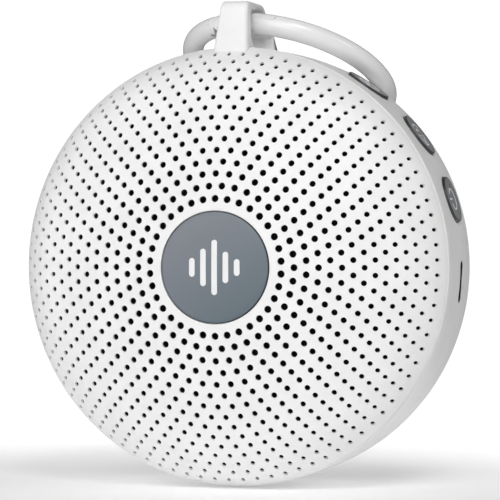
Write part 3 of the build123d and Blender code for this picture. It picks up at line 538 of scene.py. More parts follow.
def buildDome():
    rings = holeRings()
    bm = bmesh.new()
    loops = []
    for index, (radius, count, hole, start) in enumerate(rings):
        inner = (radius + rings[index - 1][0]) / 2 if index else radius - 1.24
        outer = (radius + rings[index + 1][0]) / 2 if index < len(rings) - 1 else dome["rimStart"]
        loops.append(punchedRing(bm, radius, count, hole, start, inner + dome["strip"] * (index > 0),
                                 outer - dome["strip"] * (index < len(rings) - 1)))
    for (_, below), (above, _) in zip(loops, loops[1:]):
        bmesh.ops.bridge_loops(bm, edges=below + above)
    edge = loops[-1][1]
    for radius in (42.45, 42.62, 42.76, 42.87, 42.95):
        edge = growLoop(bm, edge, radius)
    pocket, soft = dome["pocket"], dome["pocketEdge"]
    edge = growLoop(bm, loops[0][0], pocket + soft + 0.1)
    edge = growLoop(bm, edge, pocket + soft)
    for vert in bm.verts:
        vert.co.y = domeY(hypot(vert.co.x, vert.co.z))
    top = domeY(pocket)
    edge = growLoop(bm, edge, pocket + soft * 0.3, top + soft * 0.3)
    edge = growLoop(bm, edge, pocket, top + soft)
    floorEdge = growLoop(bm, edge, pocket - 0.001, top + dome["pocketDepth"])
    floorEdge = growLoop(bm, floorEdge, pocket - 1.0, top + dome["pocketDepth"])
    bmesh.ops.contextual_create(bm, geom=floorEdge)
    skin = bm.faces[:]
    grown = bmesh.ops.extrude_face_region(bm, geom=skin, use_keep_orig=True)["geom"]
    flats = set(skin) | {g for g in grown if isinstance(g, bmesh.types.BMFace)}
    for face in bm.faces:
        if face not in flats and hypot(face.calc_center_median().x,
                                       face.calc_center_median().z) < dome["rimStart"]:
            face.material_index = 1
    for vert in [g for g in grown if isinstance(g, bmesh.types.BMVert)]:
        distance = hypot(vert.co.x, vert.co.z)
        if dome["pocket"] + 0.3 < distance <= dome["rimStart"] + 0.05:
            slope = domeTurn(distance)
            vert.co.x *= 1 - dome["skin"] * sin(slope) / distance
            vert.co.z *= 1 - dome["skin"] * sin(slope) / distance
            vert.co.y += dome["skin"] * cos(slope)
        else:
            vert.co.y += dome["skin"]
        if distance > dome["rimStart"] + 0.05:
            share = (distance - dome["rimStart"]) / (42.95 - dome["rimStart"])
            scale = (dome["rimStart"] + 0.55 * share) / distance
            vert.co.x *= scale
            vert.co.z *= scale
            vert.co.y = domeEnd[1] - 0.02
    bmesh.ops.recalc_face_normals(bm, faces=bm.faces)
    return pieceFrom("soundDome", bm, 30.0)


soundDome = settle(buildDome(), "machine", "white_shell", shellWhite, "front_grille")
soundDome.data.materials.append(shadedHoleWalls)
print("dome ready", len(soundDome.data.polygons))

# badge: slate disc with plain level bars
badge = {
    "radius": 10.75, "sink": 0.05, "thick": 0.9, "edge": 0.16,
    "barWidth": 1.15, "barStep": 2.25, "barHeights": (3.6, 7.2, 10.6, 6.0, 3.2), "barProud": 0.04,
    "barCuts": 12,
}


def buildBadge():
    radius, sink, edge = badge["radius"], badge["sink"], badge["edge"]
    count = 14
    flat = radius - edge
    front = [(flat * (1 - i / count), domeY(flat * (1 - i / count)) + sink) for i in range(count)]
    rimY = domeY(radius) + sink
    profile = [(0.0, domeY(0) + sink)] + front[::-1]
    profile += [(radius - edge * 0.35, rimY + edge * 0.25), (radius, rimY + edge),
                (radius, rimY + badge["thick"]),
                (0.0, rimY + badge["thick"])]
    return pieceFrom("badgeDisc", turnedMesh(profile, 160), 40.0)


def buildBars():
    bm = bmesh.new()
    width = badge["barWidth"]
    for index, height in enumerate(badge["barHeights"]):
        bar = slotMesh(height, width, -0.3, badge["barProud"], 32)
        rims = [e for e in bar.edges if all(v.co.z > badge["barProud"] - 1e-5 for v in e.verts)]
        bmesh.ops.bevel(bar, geom=rims, offset=0.04, segments=2, profile=0.5, affect="EDGES", material=-1)
        for step in range(1, badge["barCuts"]):
            bmesh.ops.bisect_plane(bar, geom=bar.verts[:] + bar.edges[:] + bar.faces[:],
                                   plane_co=(height * (step / badge["barCuts"] - 0.5), 0, 0),
                                   plane_no=(1, 0, 0))
        across = badge["barStep"] * (index - (len(badge["barHeights"]) - 1) / 2)
        bmesh.ops.transform(bar,
                            matrix=Matrix(((0, 1, 0, across), (0, 0, -1, 0), (1, 0, 0, 0), (0, 0, 0, 1))),
                            verts=bar.verts)
        mesh = bpy.data.meshes.new("bar")
        bar.to_mesh(mesh)
        bar.free()
        bm.from_mesh(mesh)
        bpy.data.meshes.remove(mesh)
    for vert in bm.verts:
        vert.co.y += domeY(hypot(vert.co.x, vert.co.z)) + badge["sink"]
    bmesh.ops.recalc_face_normals(bm, faces=bm.faces)
    return pieceFrom("badgeBars", bm, 40.0)


settle(buildBadge(), "machine", "slate_disc", paintedShadeSlate, "badge")
settle(buildBars(), "machine", "pale_inlay", inlayPale, "badge_bars")

# cloth behind the holes
cloth = {"inset": 2.75, "thick": 0.3, "edge": 39.2}


def buildCloth():
    points = []
    for inset in (cloth["inset"], cloth["inset"] + cloth["thick"]):
        side = []
        for centre, radius, first, last in arcs:
            for i in range(9):
                point = onArc(centre, radius - inset, first + (last - first) * i / 8)
                if point[0] <= cloth["edge"]:
                    side.append(point)
        points.append(side)
    front = [p for i, p in enumerate(points[0]) if i == 0 or p[0] - points[0][i - 1][0] > 1e-3]
    back = [p for i, p in enumerate(points[1]) if i == 0 or p[0] - points[1][i - 1][0] > 1e-3]
    return pieceFrom("grilleCloth", turnedMesh(front + back[::-1], 96), 40.0)


settle(buildCloth(), "machine", "black_cloth", clothBlack, "grille_cloth")

# case halves
case = {
    "rimLip": 0.85, "grooveEnd": 1.3, "seamBevel": 0.09, "rimRound": 0.3,
    "buttonAngles": {"upper": 55.5, "middle": 36.6, "lower": 17.7}, "buttonHole": 4.8,
    "portAngle": -3.9, "slotWidth": 8.35, "slotHeight": 2.85,
    "neckWidth": 5.9, "neckFront": -23.05, "neckBack": -9.35,
    "screws": ((31.8, -26.2), (31.8, 206.2), (31.8, 115.0)), "wellRadius": 2.65, "wellDepth": 5.0,
}


def sideCutters():
    cutters = []
    for angle in case["buttonAngles"].values():
        hole = rodMesh(case["buttonHole"], 36, 48, 96)
        bmesh.ops.transform(hole, matrix=outward(angle, body["seamY"]), verts=hole.verts)
        cutters.append(hole)
    port = slotMesh(case["slotWidth"], case["slotHeight"], 36, 48, 48)
    bmesh.ops.transform(port, matrix=outward(case["portAngle"], body["seamY"]), verts=port.verts)
    cutters.append(port)
    length = case["neckBack"] - case["neckFront"]
    cutters.append(boxMesh(case["neckWidth"], length, 10,
                           (0, (case["neckBack"] + case["neckFront"]) / 2, 44)))
    return cutters


def buildFrontCase():
    seam, bevel, wall = body["seamY"], case["seamBevel"], body["wall"]
    top, soft = sideRadius(bandTop), case["rimRound"]
    profile = [(top - case["rimLip"], bandTop)]
    profile += [(top - soft, bandTop), (top - soft * 0.5, bandTop + soft * 0.13),
                (top - soft * 0.13, bandTop + soft * 0.5),
                (sideRadius(bandTop + soft), bandTop + soft)]
    profile += [(sideRadius(y), y) for y in (-23.0, -21.0, -19.0, -17.0, -15.5)]
    profile += [(sideRadius(seam - bevel), seam - bevel), (sideRadius(seam) - bevel, seam)]
    profile += [(sideRadius(seam) - wall, seam), (top - wall, bandTop + case["grooveEnd"]),
                (top - case["rimLip"], bandTop + case["grooveEnd"])]
    made = pieceFrom("frontCase", turnedMesh(profile))
    return refine(carve(made, sideCutters()))


def buildRearCase():
    seam, bevel, wall = body["seamY"], case["seamBevel"], body["wall"]
    profile = [(sideRadius(seam) - bevel, seam), (sideRadius(seam + bevel), seam + bevel)]
    profile += [(sideRadius(y), y) for y in (-12.5, -10.5, -8.5)]
    backTurn = asin(-cornerCentre[1] / body["cornerRadius"])
    profile += arcPoints(cornerCentre, body["cornerRadius"], cornerTurn, backTurn, 16)
    profile += [(profile[-1][0] - 0.6, 0.0), (20.0, 0.0), (0.0, 0.0), (0.0, -wall), (20.0, -wall)]
    inner = body["cornerRadius"] - wall
    innerTurn = asin((-wall - cornerCentre[1]) / inner)
    profile += arcPoints(cornerCentre, inner, innerTurn, cornerTurn, 10)
    profile += [(sideRadius(y) - wall, y) for y in (-9.0, -11.5)]
    profile += [(sideRadius(seam) - wall, seam)]
    made = pieceFrom("rearCase", turnedMesh(profile))
    wells = []
    for radius, angle in case["screws"]:
        well = rodMesh(case["wellRadius"], -0.5, case["wellDepth"], 64)
        x, z = polar(radius, angle)
        bmesh.ops.transform(well, matrix=Matrix(((1, 0, 0, x), (0, 0, -1, 0), (0, 1, 0, z), (0, 0, 0, 1))),
                            verts=well.verts)
        wells.append(well)
    return refine(carve(made, sideCutters() + wells))


def buildPosts():
    # the tubes that the case screws stand in, closed at the bottom of each well
    bm = bmesh.new()
    for radius, angle in case["screws"]:
        x, z = polar(radius, angle)
        wide, hole = case["wellRadius"], 1.4
        profile = [(wide, -1.9), (3.3, -1.9), (3.3, -9.2), (hole, -9.2), (hole, -5.0), (wide, -5.0)]
        post = turnedMesh(profile, 48)
        bmesh.ops.translate(post, vec=(x, 0, z), verts=post.verts)
        mesh = bpy.data.meshes.new("post")
        post.to_mesh(mesh)
        post.free()
        bm.from_mesh(mesh)
        bpy.data.meshes.remove(mesh)
    return pieceFrom("screwPosts", bm, 40.0)


settle(buildFrontCase(), "machine", "white_shell", shellWhite, "front_case")
rearCase = settle(buildRearCase(), "machine", "white_shell", shellWhite, "rear_case")
settle(buildPosts(), "machine", "white_shell", shellWhite)


def buildPortShadeSleeve():
    # thin black sleeve in the slot, standing for painted shade on the slot's walls
    skin, near = sideRadius(body["seamY"]), case["slotWidth"] - 0.03
    tall = case["slotHeight"] - 0.03
    sleeve = pieceFrom("portShadeSleeve", slotMesh(near, tall, skin - 1.1, skin - 0.3, 48))
    carve(sleeve, [slotMesh(near - 0.24, tall - 0.24, skin - 2, skin + 1, 48)])
    sleeve.data.transform(Matrix.Scale(mm, 4) @ outward(case["portAngle"],
                                                        body["seamY"]) @ Matrix.Scale(1 / mm, 4))
    return refine(sleeve)


# black sleeve as painted shade inside the charging slot
settle(buildPortShadeSleeve(), "machine", "black_plastic", socketBlack)
print("case ready")

# push buttons
button = {
    "radius": 4.6, "proud": 0.35, "bevel": 0.14, "dish": 0.1, "faceEdge": 0.2,
    "flangeRadius": 5.2, "flangeFar": 40.77, "flangeThick": 0.7, "stemRadius": 1.5, "stem": 1.5,
    "lineRadius": 0.19, "lineFlat": 0.35,
}


def buildButton(name, angle):
    top = sideRadius(body["seamY"]) + button["proud"]
    radius, bevel, dish = button["radius"], button["bevel"], button["dish"]
    far, near = button["flangeFar"], button["flangeFar"] - button["flangeThick"]
    rim = radius - bevel
    face = radius - button["faceEdge"]
    profile = [(0.0, top - 0.5), (face, top - 0.5), (face, top - 0.01), (rim, top)]
    profile += [(radius - bevel * 0.3, top - bevel * 0.3), (radius, top - bevel), (radius, far)]
    profile += [(button["flangeRadius"], far), (button["flangeRadius"], near), (button["stemRadius"], near),
                (button["stemRadius"], near - button["stem"]), (0.0, near - button["stem"])]
    inlay = [(0.0, top - dish), (face * 0.4, top - dish * 0.84), (face * 0.75, top - dish * 0.44),
             (face - 0.05, top - 0.01), (face - 0.01, top - 0.05), (face - 0.01, top - 0.45),
             (0.0, top - 0.45)]
    turn = Matrix(((1, 0, 0, 0), (0, 0, 1, 0), (0, 1, 0, 0), (0, 0, 0, 1)))
    made = []
    for part, outline in (("Cap", profile), ("Face", inlay)):
        bm = turnedMesh(outline, 96)
        bmesh.ops.transform(bm, matrix=outward(angle, body["seamY"]) @ turn, verts=bm.verts)
        bmesh.ops.recalc_face_normals(bm, faces=bm.faces)
        made.append(pieceFrom("button" + part + name, bm, 40.0))
    return made


def iconMesh(name, strokes, angle):
    # light lines on a cap: a stroke is a list of points, or an arc as (centre x, centre y, radius, from, to)
    curve = bpy.data.curves.new(name, "CURVE")
    curve.dimensions = "3D"
    curve.bevel_depth = button["lineRadius"]
    curve.bevel_resolution = 2
    curve.use_fill_caps = True
    for stroke in strokes:
        if isinstance(stroke, tuple):
            x, y, radius, first, last = stroke
            turns = [radians(first + (last - first) * i / 24) for i in range(25)]
            stroke = [(x + radius * cos(t), y + radius * sin(t)) for t in turns]
        line = curve.splines.new("POLY")
        line.points.add(len(stroke) - 1)
        for point, (x, y) in zip(line.points, stroke):
            point.co = (x, y, 0, 1)
    holder = bpy.data.objects.new(name, curve)
    bpy.context.scene.collection.objects.link(holder)
    mesh = bpy.data.meshes.new_from_object(holder.evaluated_get(bpy.context.evaluated_depsgraph_get()))
    bpy.data.objects.remove(holder)
    bpy.data.curves.remove(curve)
    bm = bmesh.new()
    bm.from_mesh(mesh)
    bpy.data.meshes.remove(mesh)
    top = sideRadius(body["seamY"]) + button["proud"]
    for vert in bm.verts:
        share = min(1.0, hypot(vert.co.x, vert.co.y) / button["radius"])
        vert.co.z = top - button["dish"] * (1 - share ** 2) + vert.co.z * button["lineFlat"]
    bmesh.ops.transform(bm, matrix=outward(angle, body["seamY"]), verts=bm.verts)
    bmesh.ops.recalc_face_normals(bm, faces=bm.faces)
    return pieceFrom(name, bm, 50.0)


icons = {
    "lower": [(0, 0, 2.1, 120, 420), [(0, 0.6), (0, 2.6)]],
    "middle": [[(-2.6, -0.7), (-1.6, -0.7), (-0.3, -1.9), (-0.3, 1.9), (-1.6, 0.7), (-2.6, 0.7),
                (-2.6, -0.7)],
               (-0.3, 0, 1.5, -45, 45), (-0.3, 0, 2.7, -45, 45)],
    "upper": [(0, 0, 2.3, 0, 360), [(0, 1.4), (0, 0), (1.1, -0.7)]],
}
for place, angle in case["buttonAngles"].items():
    cap, face = buildButton(place.capitalize(), angle)
    # the cap body is near black as painted shade on its side wall; the grey face sits in it
    settle(cap, "button_" + place, "grey_buttons", capPaintedShade, "button_" + place)
    settle(face, "button_" + place, "grey_buttons", buttonGrey)
    mark = iconMesh("buttonMark" + place.capitalize(), icons[place], angle)
    settle(mark, "button_" + place, "pale_inlay", iconLight)
print("buttons ready")

# hanging loop
loop = {
    "half": 3.15, "round": 0.8, "top": 52.3, "holeTop": 50.85, "holeFront": -22.35,
    "taperTop": 0.9, "flareFoot": 1.09,
}


def roundedLine(points, radii, steps=8):
    # the outline with each corner replaced by an arc of its radius
    out = []
    for index, (point, radius) in enumerate(zip(points, radii)):
        here = Vector(point)
        back = (Vector(points[index - 1]) - here)
        ahead = (Vector(points[(index + 1) % len(points)]) - here)
        if radius <= 0:
            out.append(tuple(here))
            continue
        half = back.angle(ahead) / 2
        reach = min(radius / tan(half), back.length * 0.49, ahead.length * 0.49)
        size = reach * tan(half)
        start, end = here + back.normalized() * reach, here + ahead.normalized() * reach
        centre = here + (back.normalized() + ahead.normalized()).normalized() * (size / sin(half))
        first = (start - centre).angle_signed(end - centre)
        for i in range(steps + 1):
            turn = -first * i / steps
            arm = start - centre
            out.append((centre.x + arm.x * cos(turn) - arm.y * sin(turn),
                        centre.y + arm.x * sin(turn) + arm.y * cos(turn)))
    return out


def buildLoop():
    outer = roundedLine([(-27.2, 41.0), (-27.2, 43.4), (-25.5, 49.0), (-24.6, loop["top"]),
                         (-13.4, loop["top"]),
                         (-5.6, 46.2), (-4.0, 43.0), (-4.0, 41.0)], [0, 2.0, 3.0, 4.0, 2.6, 3.0, 2.0, 0])
    hole = roundedLine([(loop["holeFront"], loop["holeTop"]), (-13.8, loop["holeTop"]), (-7.6, 46.0),
                        (-7.4, 43.25),
                        (loop["holeFront"], 43.25)], [2.2, 2.2, 0.8, 1.5, 2.2])
    curve = bpy.data.curves.new("loopSide", "CURVE")
    curve.dimensions = "2D"
    curve.fill_mode = "BOTH"
    curve.extrude = loop["half"] - loop["round"]
    curve.bevel_depth = loop["round"]
    curve.bevel_resolution = 4
    curve.offset = -loop["round"]
    for outline in (outer, hole):
        line = curve.splines.new("POLY")
        line.points.add(len(outline) - 1)
        line.use_cyclic_u = True
        for point, (x, y) in zip(line.points, outline):
            point.co = (x, y, 0, 1)
    holder = bpy.data.objects.new("loopSide", curve)
    bpy.context.scene.collection.objects.link(holder)
    mesh = bpy.data.meshes.new_from_object(holder.evaluated_get(bpy.context.evaluated_depsgraph_get()))
    bpy.data.objects.remove(holder)
    bpy.data.curves.remove(curve)
    bm = bmesh.new()
    bm.from_mesh(mesh)
    bpy.data.meshes.remove(mesh)
    bmesh.ops.remove_doubles(bm, verts=bm.verts, dist=1e-4)
    bmesh.ops.transform(bm, matrix=Matrix(((0, 0, 1, 0), (1, 0, 0, 0), (0, 1, 0, 0), (0, 0, 0, 1))),
                        verts=bm.verts)
    for vert in bm.verts:
        height = (vert.co.z - 43.5) / (loop["top"] - 43.5)
        if height > 0:
            vert.co.x *= 1.0 + (loop["taperTop"] - 1.0) * min(1.0, height)
        foot = max(0.0, 1 - (vert.co.z - 43.2) / 2.2)
        vert.co.x *= 1.0 + (loop["flareFoot"] - 1.0) * min(1.0, foot) ** 2
    bmesh.ops.recalc_face_normals(bm, faces=bm.faces)
    arch = pieceFrom("hangingLoop", bm, 34.0)
    shape = [(0.0, domeY(0) - 0.03)]
    for centre, radius, first, last in arcs:
        shape += [onArc(centre, radius + 0.03, first + (last - first) * i / 10) for i in range(1, 11)]
    shape += [(sideRadius(bandTop) + 0.03, bandTop), (sideEnd[0] + 0.03, sideEnd[1])]
    shape += [p for p in arcPoints(sideCentre, body["sideArc"] + 0.03, -leanTurn, cornerTurn, 6)[1:]]
    shape += [(40.0, 0.0), (0.0, 0.0)]
    arch = carve(arch, [turnedMesh(shape, 240)])
    plate = pieceFrom("neckPlate", boxMesh(5.84, 13.64, 3.0, (0, -16.2, 42.7)))
    cover = [(0.0, bandTop)] + [(sideRadius(y) - 0.02, y) for y in (bandTop, -23.0, -20.0, -17.0, -14.0,
                                                                    -11.0, -8.0)]
    carve(plate, [turnedMesh(cover + [(0.0, -8.0)], 240)], "INTERSECT")
    return refine(arch, 34.0), refine(plate)


hangingLoop, neckPlate = buildLoop()
settle(hangingLoop, "machine", "white_shell", shellWhite, "hanging_loop")
settle(neckPlate, "machine", "white_shell", shellWhite)
print("loop ready")

# opening ring
ring = {
    "radius": 20.45, "bar": 2.15, "eye": (0, -17.65, 48.3), "yaw": 14.4, "dip": 2.2, "fall": 25.8,
    "linkHalf": 20.0, "tongue": 0.65, "cheekGap": 0.02, "pin": 0.7, "knuckle": 2.05, "knuckleGap": 0.06,
    "lapNear": 9.9, "lapFar": 14.3, "lapLevel": 0.3, "lapGap": 0.06, "claspGap": 0.15,
}


def ringPlane():
    # origin at the ring's middle, x along the bar in the loop, y away from the loop
    yaw, dip, fall = radians(ring["yaw"]), radians(ring["dip"]), radians(ring["fall"])
    along = Vector((cos(dip) * cos(yaw), -cos(dip) * sin(yaw), -sin(dip)))
    level = Vector((0, 0, 1)).cross(along).normalized()
    away = level * cos(fall) - along.cross(level) * sin(fall)
    normal = along.cross(away)
    middle = Vector(ring["eye"]) + away * ring["radius"]
    rows = [(along[i], away[i], normal[i], middle[i]) for i in range(3)]
    return Matrix(rows + [(0, 0, 0, 1)])


def barArc(first, last):
    # stretch of the ring's bar between two angles from the loop
    bm = bmesh.new()
    bmesh.ops.create_circle(bm, cap_ends=True, segments=40, radius=ring["bar"])
    bmesh.ops.transform(bm,
                        matrix=Matrix.Translation((ring["radius"], 0, 0)) @ Matrix.Rotation(pi / 2, 4, "X"),
                        verts=bm.verts)
    bmesh.ops.rotate(bm, cent=(0, 0, 0), matrix=Matrix.Rotation(radians(first - 90), 3, "Z"), verts=bm.verts)
    bmesh.ops.spin(bm, geom=bm.verts[:] + bm.edges[:] + bm.faces[:], cent=(0, 0, 0), axis=(0, 0, 1),
                   dvec=(0, 0, 0),
                   angle=radians(last - first), steps=max(8, round((last - first) / 2)), use_duplicate=False)
    bmesh.ops.remove_doubles(bm, verts=bm.verts, dist=1e-5)
    bmesh.ops.recalc_face_normals(bm, faces=bm.faces)
    return bm


def aboutPin(radius, low, high, sides=96):
    turn = radians(-ring["linkHalf"])
    bm = rodMesh(radius, low, high, sides)
    bmesh.ops.translate(bm, vec=(ring["radius"] * sin(turn), -ring["radius"] * cos(turn), 0), verts=bm.verts)
    return bm


def placedRing(made, bevel=0.07):
    refine(made, 34.0, bevel)
    made.data.transform(Matrix.Scale(mm, 4) @ ringPlane() @ Matrix.Scale(1 / mm, 4))
    return made


def buildLink():
    half, bar = ring["linkHalf"], ring["bar"] + 1
    tongue, clear = ring["tongue"], ring["knuckle"] + ring["knuckleGap"]
    link = pieceFrom("ringLink", barArc(-half - 8, 30))
    carve(link, [aboutPin(ring["lapFar"], -bar, bar, 160)], "INTERSECT")
    beyond = boxMesh(8, 8, 8, (-4, 0, 0))
    bmesh.ops.translate(beyond, vec=(0, -ring["radius"], 0), verts=beyond.verts)
    bmesh.ops.rotate(beyond, cent=(0, 0, 0), matrix=Matrix.Rotation(radians(-half), 3, "Z"),
                     verts=beyond.verts)
    nose = pieceFrom("nose", beyond)
    carve(nose, [aboutPin(ring["knuckle"], -5, 5)])
    outer = bmesh.new()
    outer.from_mesh(nose.data)
    bpy.data.objects.remove(nose)
    bmesh.ops.scale(outer, vec=(1 / mm, 1 / mm, 1 / mm), verts=outer.verts)
    level = ring["lapLevel"] + ring["lapGap"] / 2
    lower = pieceFrom("lower", aboutPin(ring["lapFar"] + 2, -bar, level, 160))
    carve(lower, [aboutPin(ring["lapNear"], -bar - 1, level + 1, 160)])
    below = bmesh.new()
    below.from_mesh(lower.data)
    bpy.data.objects.remove(lower)
    bmesh.ops.scale(below, vec=(1 / mm, 1 / mm, 1 / mm), verts=below.verts)
    carve(link, [outer, below, aboutPin(clear, -bar, -tongue), aboutPin(clear, tongue, bar),
                 aboutPin(ring["pin"] + 0.06, -bar, bar)])
    return placedRing(link)


def buildHoop():
    half, bar = ring["linkHalf"], ring["bar"] + 1
    cheek, clear = ring["tongue"] + ring["cheekGap"], ring["knuckle"] + ring["knuckleGap"]
    hoop = pieceFrom("ringHoop", barArc(6, 360 - half + 9))
    past = boxMesh(8, 8, 8, (4, 0, 0))
    bmesh.ops.translate(past, vec=(0, -ring["radius"], 0), verts=past.verts)
    bmesh.ops.rotate(past, cent=(0, 0, 0), matrix=Matrix.Rotation(radians(-half), 3, "Z"), verts=past.verts)
    nose = pieceFrom("nose", past)
    carve(nose, [aboutPin(ring["knuckle"], -5, 5)])
    outer = bmesh.new()
    outer.from_mesh(nose.data)
    bpy.data.objects.remove(nose)
    bmesh.ops.scale(outer, vec=(1 / mm, 1 / mm, 1 / mm), verts=outer.verts)
    right = Vector((ring["radius"] * sin(radians(-half)) + 0.5, 0, 0))
    cuts = [outer]
    for radius, low in ((ring["lapNear"] + ring["claspGap"], -bar),
                        (ring["lapFar"] + ring["claspGap"], ring["lapLevel"] - ring["lapGap"] / 2)):
        room = pieceFrom("room", aboutPin(radius, low, bar, 160))
        carve(room, [boxMesh(40, 60, 20, (right.x + 20, -20, 0))], "INTERSECT")
        shape = bmesh.new()
        shape.from_mesh(room.data)
        bpy.data.objects.remove(room)
        bmesh.ops.scale(shape, vec=(1 / mm, 1 / mm, 1 / mm), verts=shape.verts)
        cuts.append(shape)
    cuts += [aboutPin(clear + 0.02, -cheek, cheek), aboutPin(ring["pin"], -bar, bar)]
    carve(hoop, cuts)
    return placedRing(hoop)


def buildPin():
    pin = pieceFrom("ringPin", rodMesh(ring["pin"], -ring["bar"] + 0.12, ring["bar"] - 0.12, 40, 0.1))
    turn = radians(-ring["linkHalf"])
    pin.data.transform(Matrix.Translation((ring["radius"] * sin(turn) * mm,
                                           -ring["radius"] * cos(turn) * mm, 0)))
    pin.data.transform(Matrix.Scale(mm, 4) @ ringPlane() @ Matrix.Scale(1 / mm, 4))
    return pin


settle(buildLink(), "link", "white_ring", ringWhite, "ring_link")
settle(buildHoop(), "hoop", "white_ring", ringWhite, "ring_hoop")
settle(buildPin(), "link", "steel_screws", screwSteel, "ring_pin")
print("ring ready")

# case screws
screw = {"headRadius": 2.4, "headTop": -3.2, "headThick": 1.8, "shankRadius": 1.25, "length": 13.0}


def buildScrews():
    bm = bmesh.new()
    for index, (radius, angle) in enumerate(case["screws"]):
        x, z = polar(radius, angle)
        top, low = screw["headTop"], screw["headTop"] - screw["headThick"]
        head = screw["headRadius"]
        profile = [(0.0, top), (head * 0.55, top - 0.06), (head * 0.85, top - 0.3), (head * 0.98, top - 0.7),
                   (head, top - 1.0), (head, low), (screw["shankRadius"], low),
                   (screw["shankRadius"], low - screw["length"] + 1),
                   (0.3, low - screw["length"]), (0.0, low - screw["length"])]
        made = pieceFrom("screwBlank", turnedMesh(profile, 48))
        cross = []
        for turn in (0, 90):
            arm = boxMesh(2.9, 1.7, 0.62, (0, top - 0.3, 0))
            for vert in arm.verts:
                if vert.co.y < top - 0.5:
                    vert.co.x *= 0.45
            bmesh.ops.rotate(arm, cent=(0, 0, 0),
                             matrix=Matrix.Rotation(radians(turn + 25 * index), 3, "Y"), verts=arm.verts)
            cross.append(arm)
        refine(carve(made, cross), 36.0)
        made.data.transform(Matrix.Translation((x * mm, 0, z * mm)))
        bm.from_mesh(made.data)
        bpy.data.objects.remove(made)
    bmesh.ops.scale(bm, vec=(1 / mm, 1 / mm, 1 / mm), verts=bm.verts)
    return pieceFrom("caseScrews", bm, 36.0)


settle(buildScrews(), "machine", "steel_screws", screwSteel, "case_screws")
print("screws ready")

# finishes of the pieces that keep their solids
kept = {
    "speaker_gasket": foamBlack, "battery_pads": foamBlack, "speaker_surround": rubberBlack,
    "speaker_frame": paintedSteel, "speaker_cone": pulpGrey, "speaker_dust_cap": pulpGrey,
    "voice_coil": copperWire, "speaker_spider": spiderCloth, "magnet_cup": platedSteel,
    "speaker_magnet": platedSteel, "pole_plate": platedSteel, "speaker_terminals": tagBoard,
    "speaker_screws": screwSteel, "board_screws": screwSteel, "main_board": boardGreen,
    "board_chips": socketBlack, "board_coil": socketBlack, "button_switches": socketBlack,
    "socket_tongue": socketBlack, "charging_socket": socketSteel, "plunger_upper": socketBlack,
    "plunger_middle": socketBlack, "plunger_lower": socketBlack, "battery_cell": cellFoil,
    "battery_plug": plugIvory, "speaker_plug": plugIvory, "battery_leads": wireRed, "speaker_leads": wireRed,
}
for name, material in kept.items():
    nodes[name].data.materials.clear()
    nodes[name].data.materials.append(material)

# studio
studio = {
    "floorZ": -43.35, "floorTone": 0.95, "glowStart": -0.03, "glowNear": 0.15, "glowTurn": 0.08,
    "glowMiddle": 0.6, "glowReach": 0.6, "glowFar": 0.88, "air": 0.18,
    "lamps": (("keyLamp", (0.0, -1.0, 0.7), 0.6, 3.0), ("frontLamp", (0.0, -1.2, 0.1), 0.6, 3.5),
              ("rightLamp", (0.4, -0.7, 0.9), 0.4, 3.4), ("leftLamp", (-0.9, -0.5, 0.9), 0.4, 1.6),
              ("sideLamp", (-1.0, -0.6, 0.1), 0.5, 1.75), ("rimLamp", (0.95, -0.15, 0.5), 0.35, 1.25)),
    "eye": (142.38, -485.95, 5.486), "look": (-0.288634, 0.957465, -0.004564), "lens": 177.1,
}


def buildFloor():
    # floor that sweeps up into a backdrop
    low = studio["floorZ"] * mm
    far = [(0.06, low), (1.4, low)]
    far += [(1.4 + 0.9 * sin(radians(a)), low + 0.9 * (1 - cos(radians(a)))) for a in range(6, 91, 6)]
    far += [(2.3, low + 3.0)]
    paper = studioPaper()
    buildSheet("studioFloor", [(-2.2, low), (-0.03, low), (0.06, low)], paper)
    backdrop = buildSheet("studioBackdrop", far, paper)
    backdrop.visible_diffuse = False
    backdrop.visible_glossy = False


def buildSheet(name, path, material):
    bm = bmesh.new()
    line = [bm.verts.new((-3.0, y, z)) for y, z in path]
    edges = [bm.edges.new(pair) for pair in zip(line, line[1:])]
    made = bmesh.ops.extrude_edge_only(bm, edges=edges)["geom"]
    bmesh.ops.translate(bm, vec=(6.0, 0, 0), verts=[g for g in made if isinstance(g, bmesh.types.BMVert)])
    bmesh.ops.recalc_face_normals(bm, faces=bm.faces)
    for face in bm.faces:
        face.smooth = True
    mesh = bpy.data.meshes.new(name)
    bm.to_mesh(mesh)
    bm.free()
    mesh.materials.append(material)
    sheet = bpy.data.objects.new(name, mesh)
    bpy.context.scene.collection.objects.link(sheet)
    return sheet


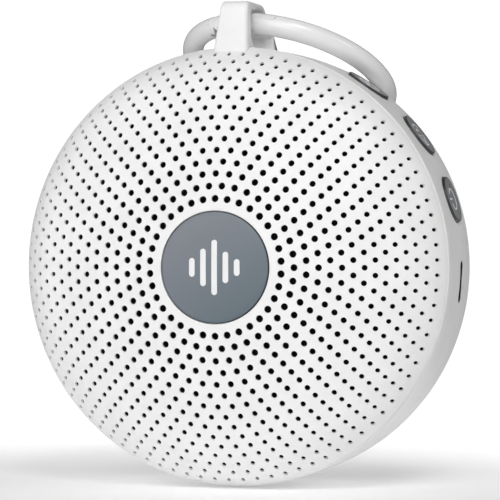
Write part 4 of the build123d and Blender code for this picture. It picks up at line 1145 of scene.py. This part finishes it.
def studioPaper():
    # pale paper with a glow that grows with the distance behind the machine
    material, tree, shader, place = newFinish("studioPaper")
    tone = studio["floorTone"]
    paper = noiseNode(tree, place, 3.0, 2.0)
    tree.links.new(ramp(tree, paper.outputs["Fac"], 0.3, 0.7, (tone * 0.99,) * 3, (tone,) * 3),
                   shader.inputs["Base Color"])
    shader.inputs["Roughness"].default_value = 0.85
    shader.inputs["Emission Color"].default_value = (1, 1, 1, 1)
    depth = tree.nodes.new("ShaderNodeSeparateXYZ")
    tree.links.new(place.outputs["Object"], depth.inputs["Vector"])
    steps = ((studio["glowStart"], studio["glowTurn"], studio["glowNear"], studio["glowMiddle"]),
             (studio["glowTurn"], studio["glowReach"], 0.0, studio["glowFar"] - studio["glowMiddle"]))
    glows = []
    for start, end, low, high in steps:
        glow = tree.nodes.new("ShaderNodeMapRange")
        for socket, value in (("From Min", start), ("From Max", end), ("To Min", low), ("To Max", high)):
            glow.inputs[socket].default_value = value
        tree.links.new(depth.outputs["Y"], glow.inputs["Value"])
        glows.append(glow.outputs["Result"])
    total = tree.nodes.new("ShaderNodeMath")
    tree.links.new(glows[0], total.inputs[0])
    tree.links.new(glows[1], total.inputs[1])
    tree.links.new(total.outputs[0], shader.inputs["Emission Strength"])
    return material


def addLamp(name, place, aim, size, power, spreadAngle=180.0):
    data = bpy.data.lights.new(name, "AREA")
    data.shape = "RECTANGLE"
    data.size, data.size_y = size
    data.energy = power
    data.spread = radians(spreadAngle)
    lamp = bpy.data.objects.new(name, data)
    bpy.context.scene.collection.objects.link(lamp)
    lamp.location = place
    lamp.rotation_euler = (Vector(aim) - Vector(place)).to_track_quat("-Z", "Y").to_euler()
    return lamp


buildFloor()
for lampName, lampPlace, lampSize, power in studio["lamps"]:
    addLamp(lampName, lampPlace, (0, -0.02, 0), (lampSize, lampSize), power)
world = bpy.data.worlds.new("studioAir")
world.use_nodes = True
world.node_tree.nodes["Background"].inputs["Color"].default_value = (1.0, 1.0, 1.0, 1)
world.node_tree.nodes["Background"].inputs["Strength"].default_value = studio["air"]
bpy.context.scene.world = world

cameraData = bpy.data.cameras.new("camera")
cameraData.lens = studio["lens"]
cameraData.sensor_width = 36.0
cameraData.clip_start = 0.01
camera = bpy.data.objects.new("camera", cameraData)
bpy.context.scene.collection.objects.link(camera)
camera.location = Vector(studio["eye"]) * mm
camera.rotation_euler = Vector(studio["look"]).to_track_quat("-Z", "Y").to_euler()
bpy.context.scene.camera = camera
bpy.context.scene.view_settings.view_transform = "Standard"
print("studio ready")
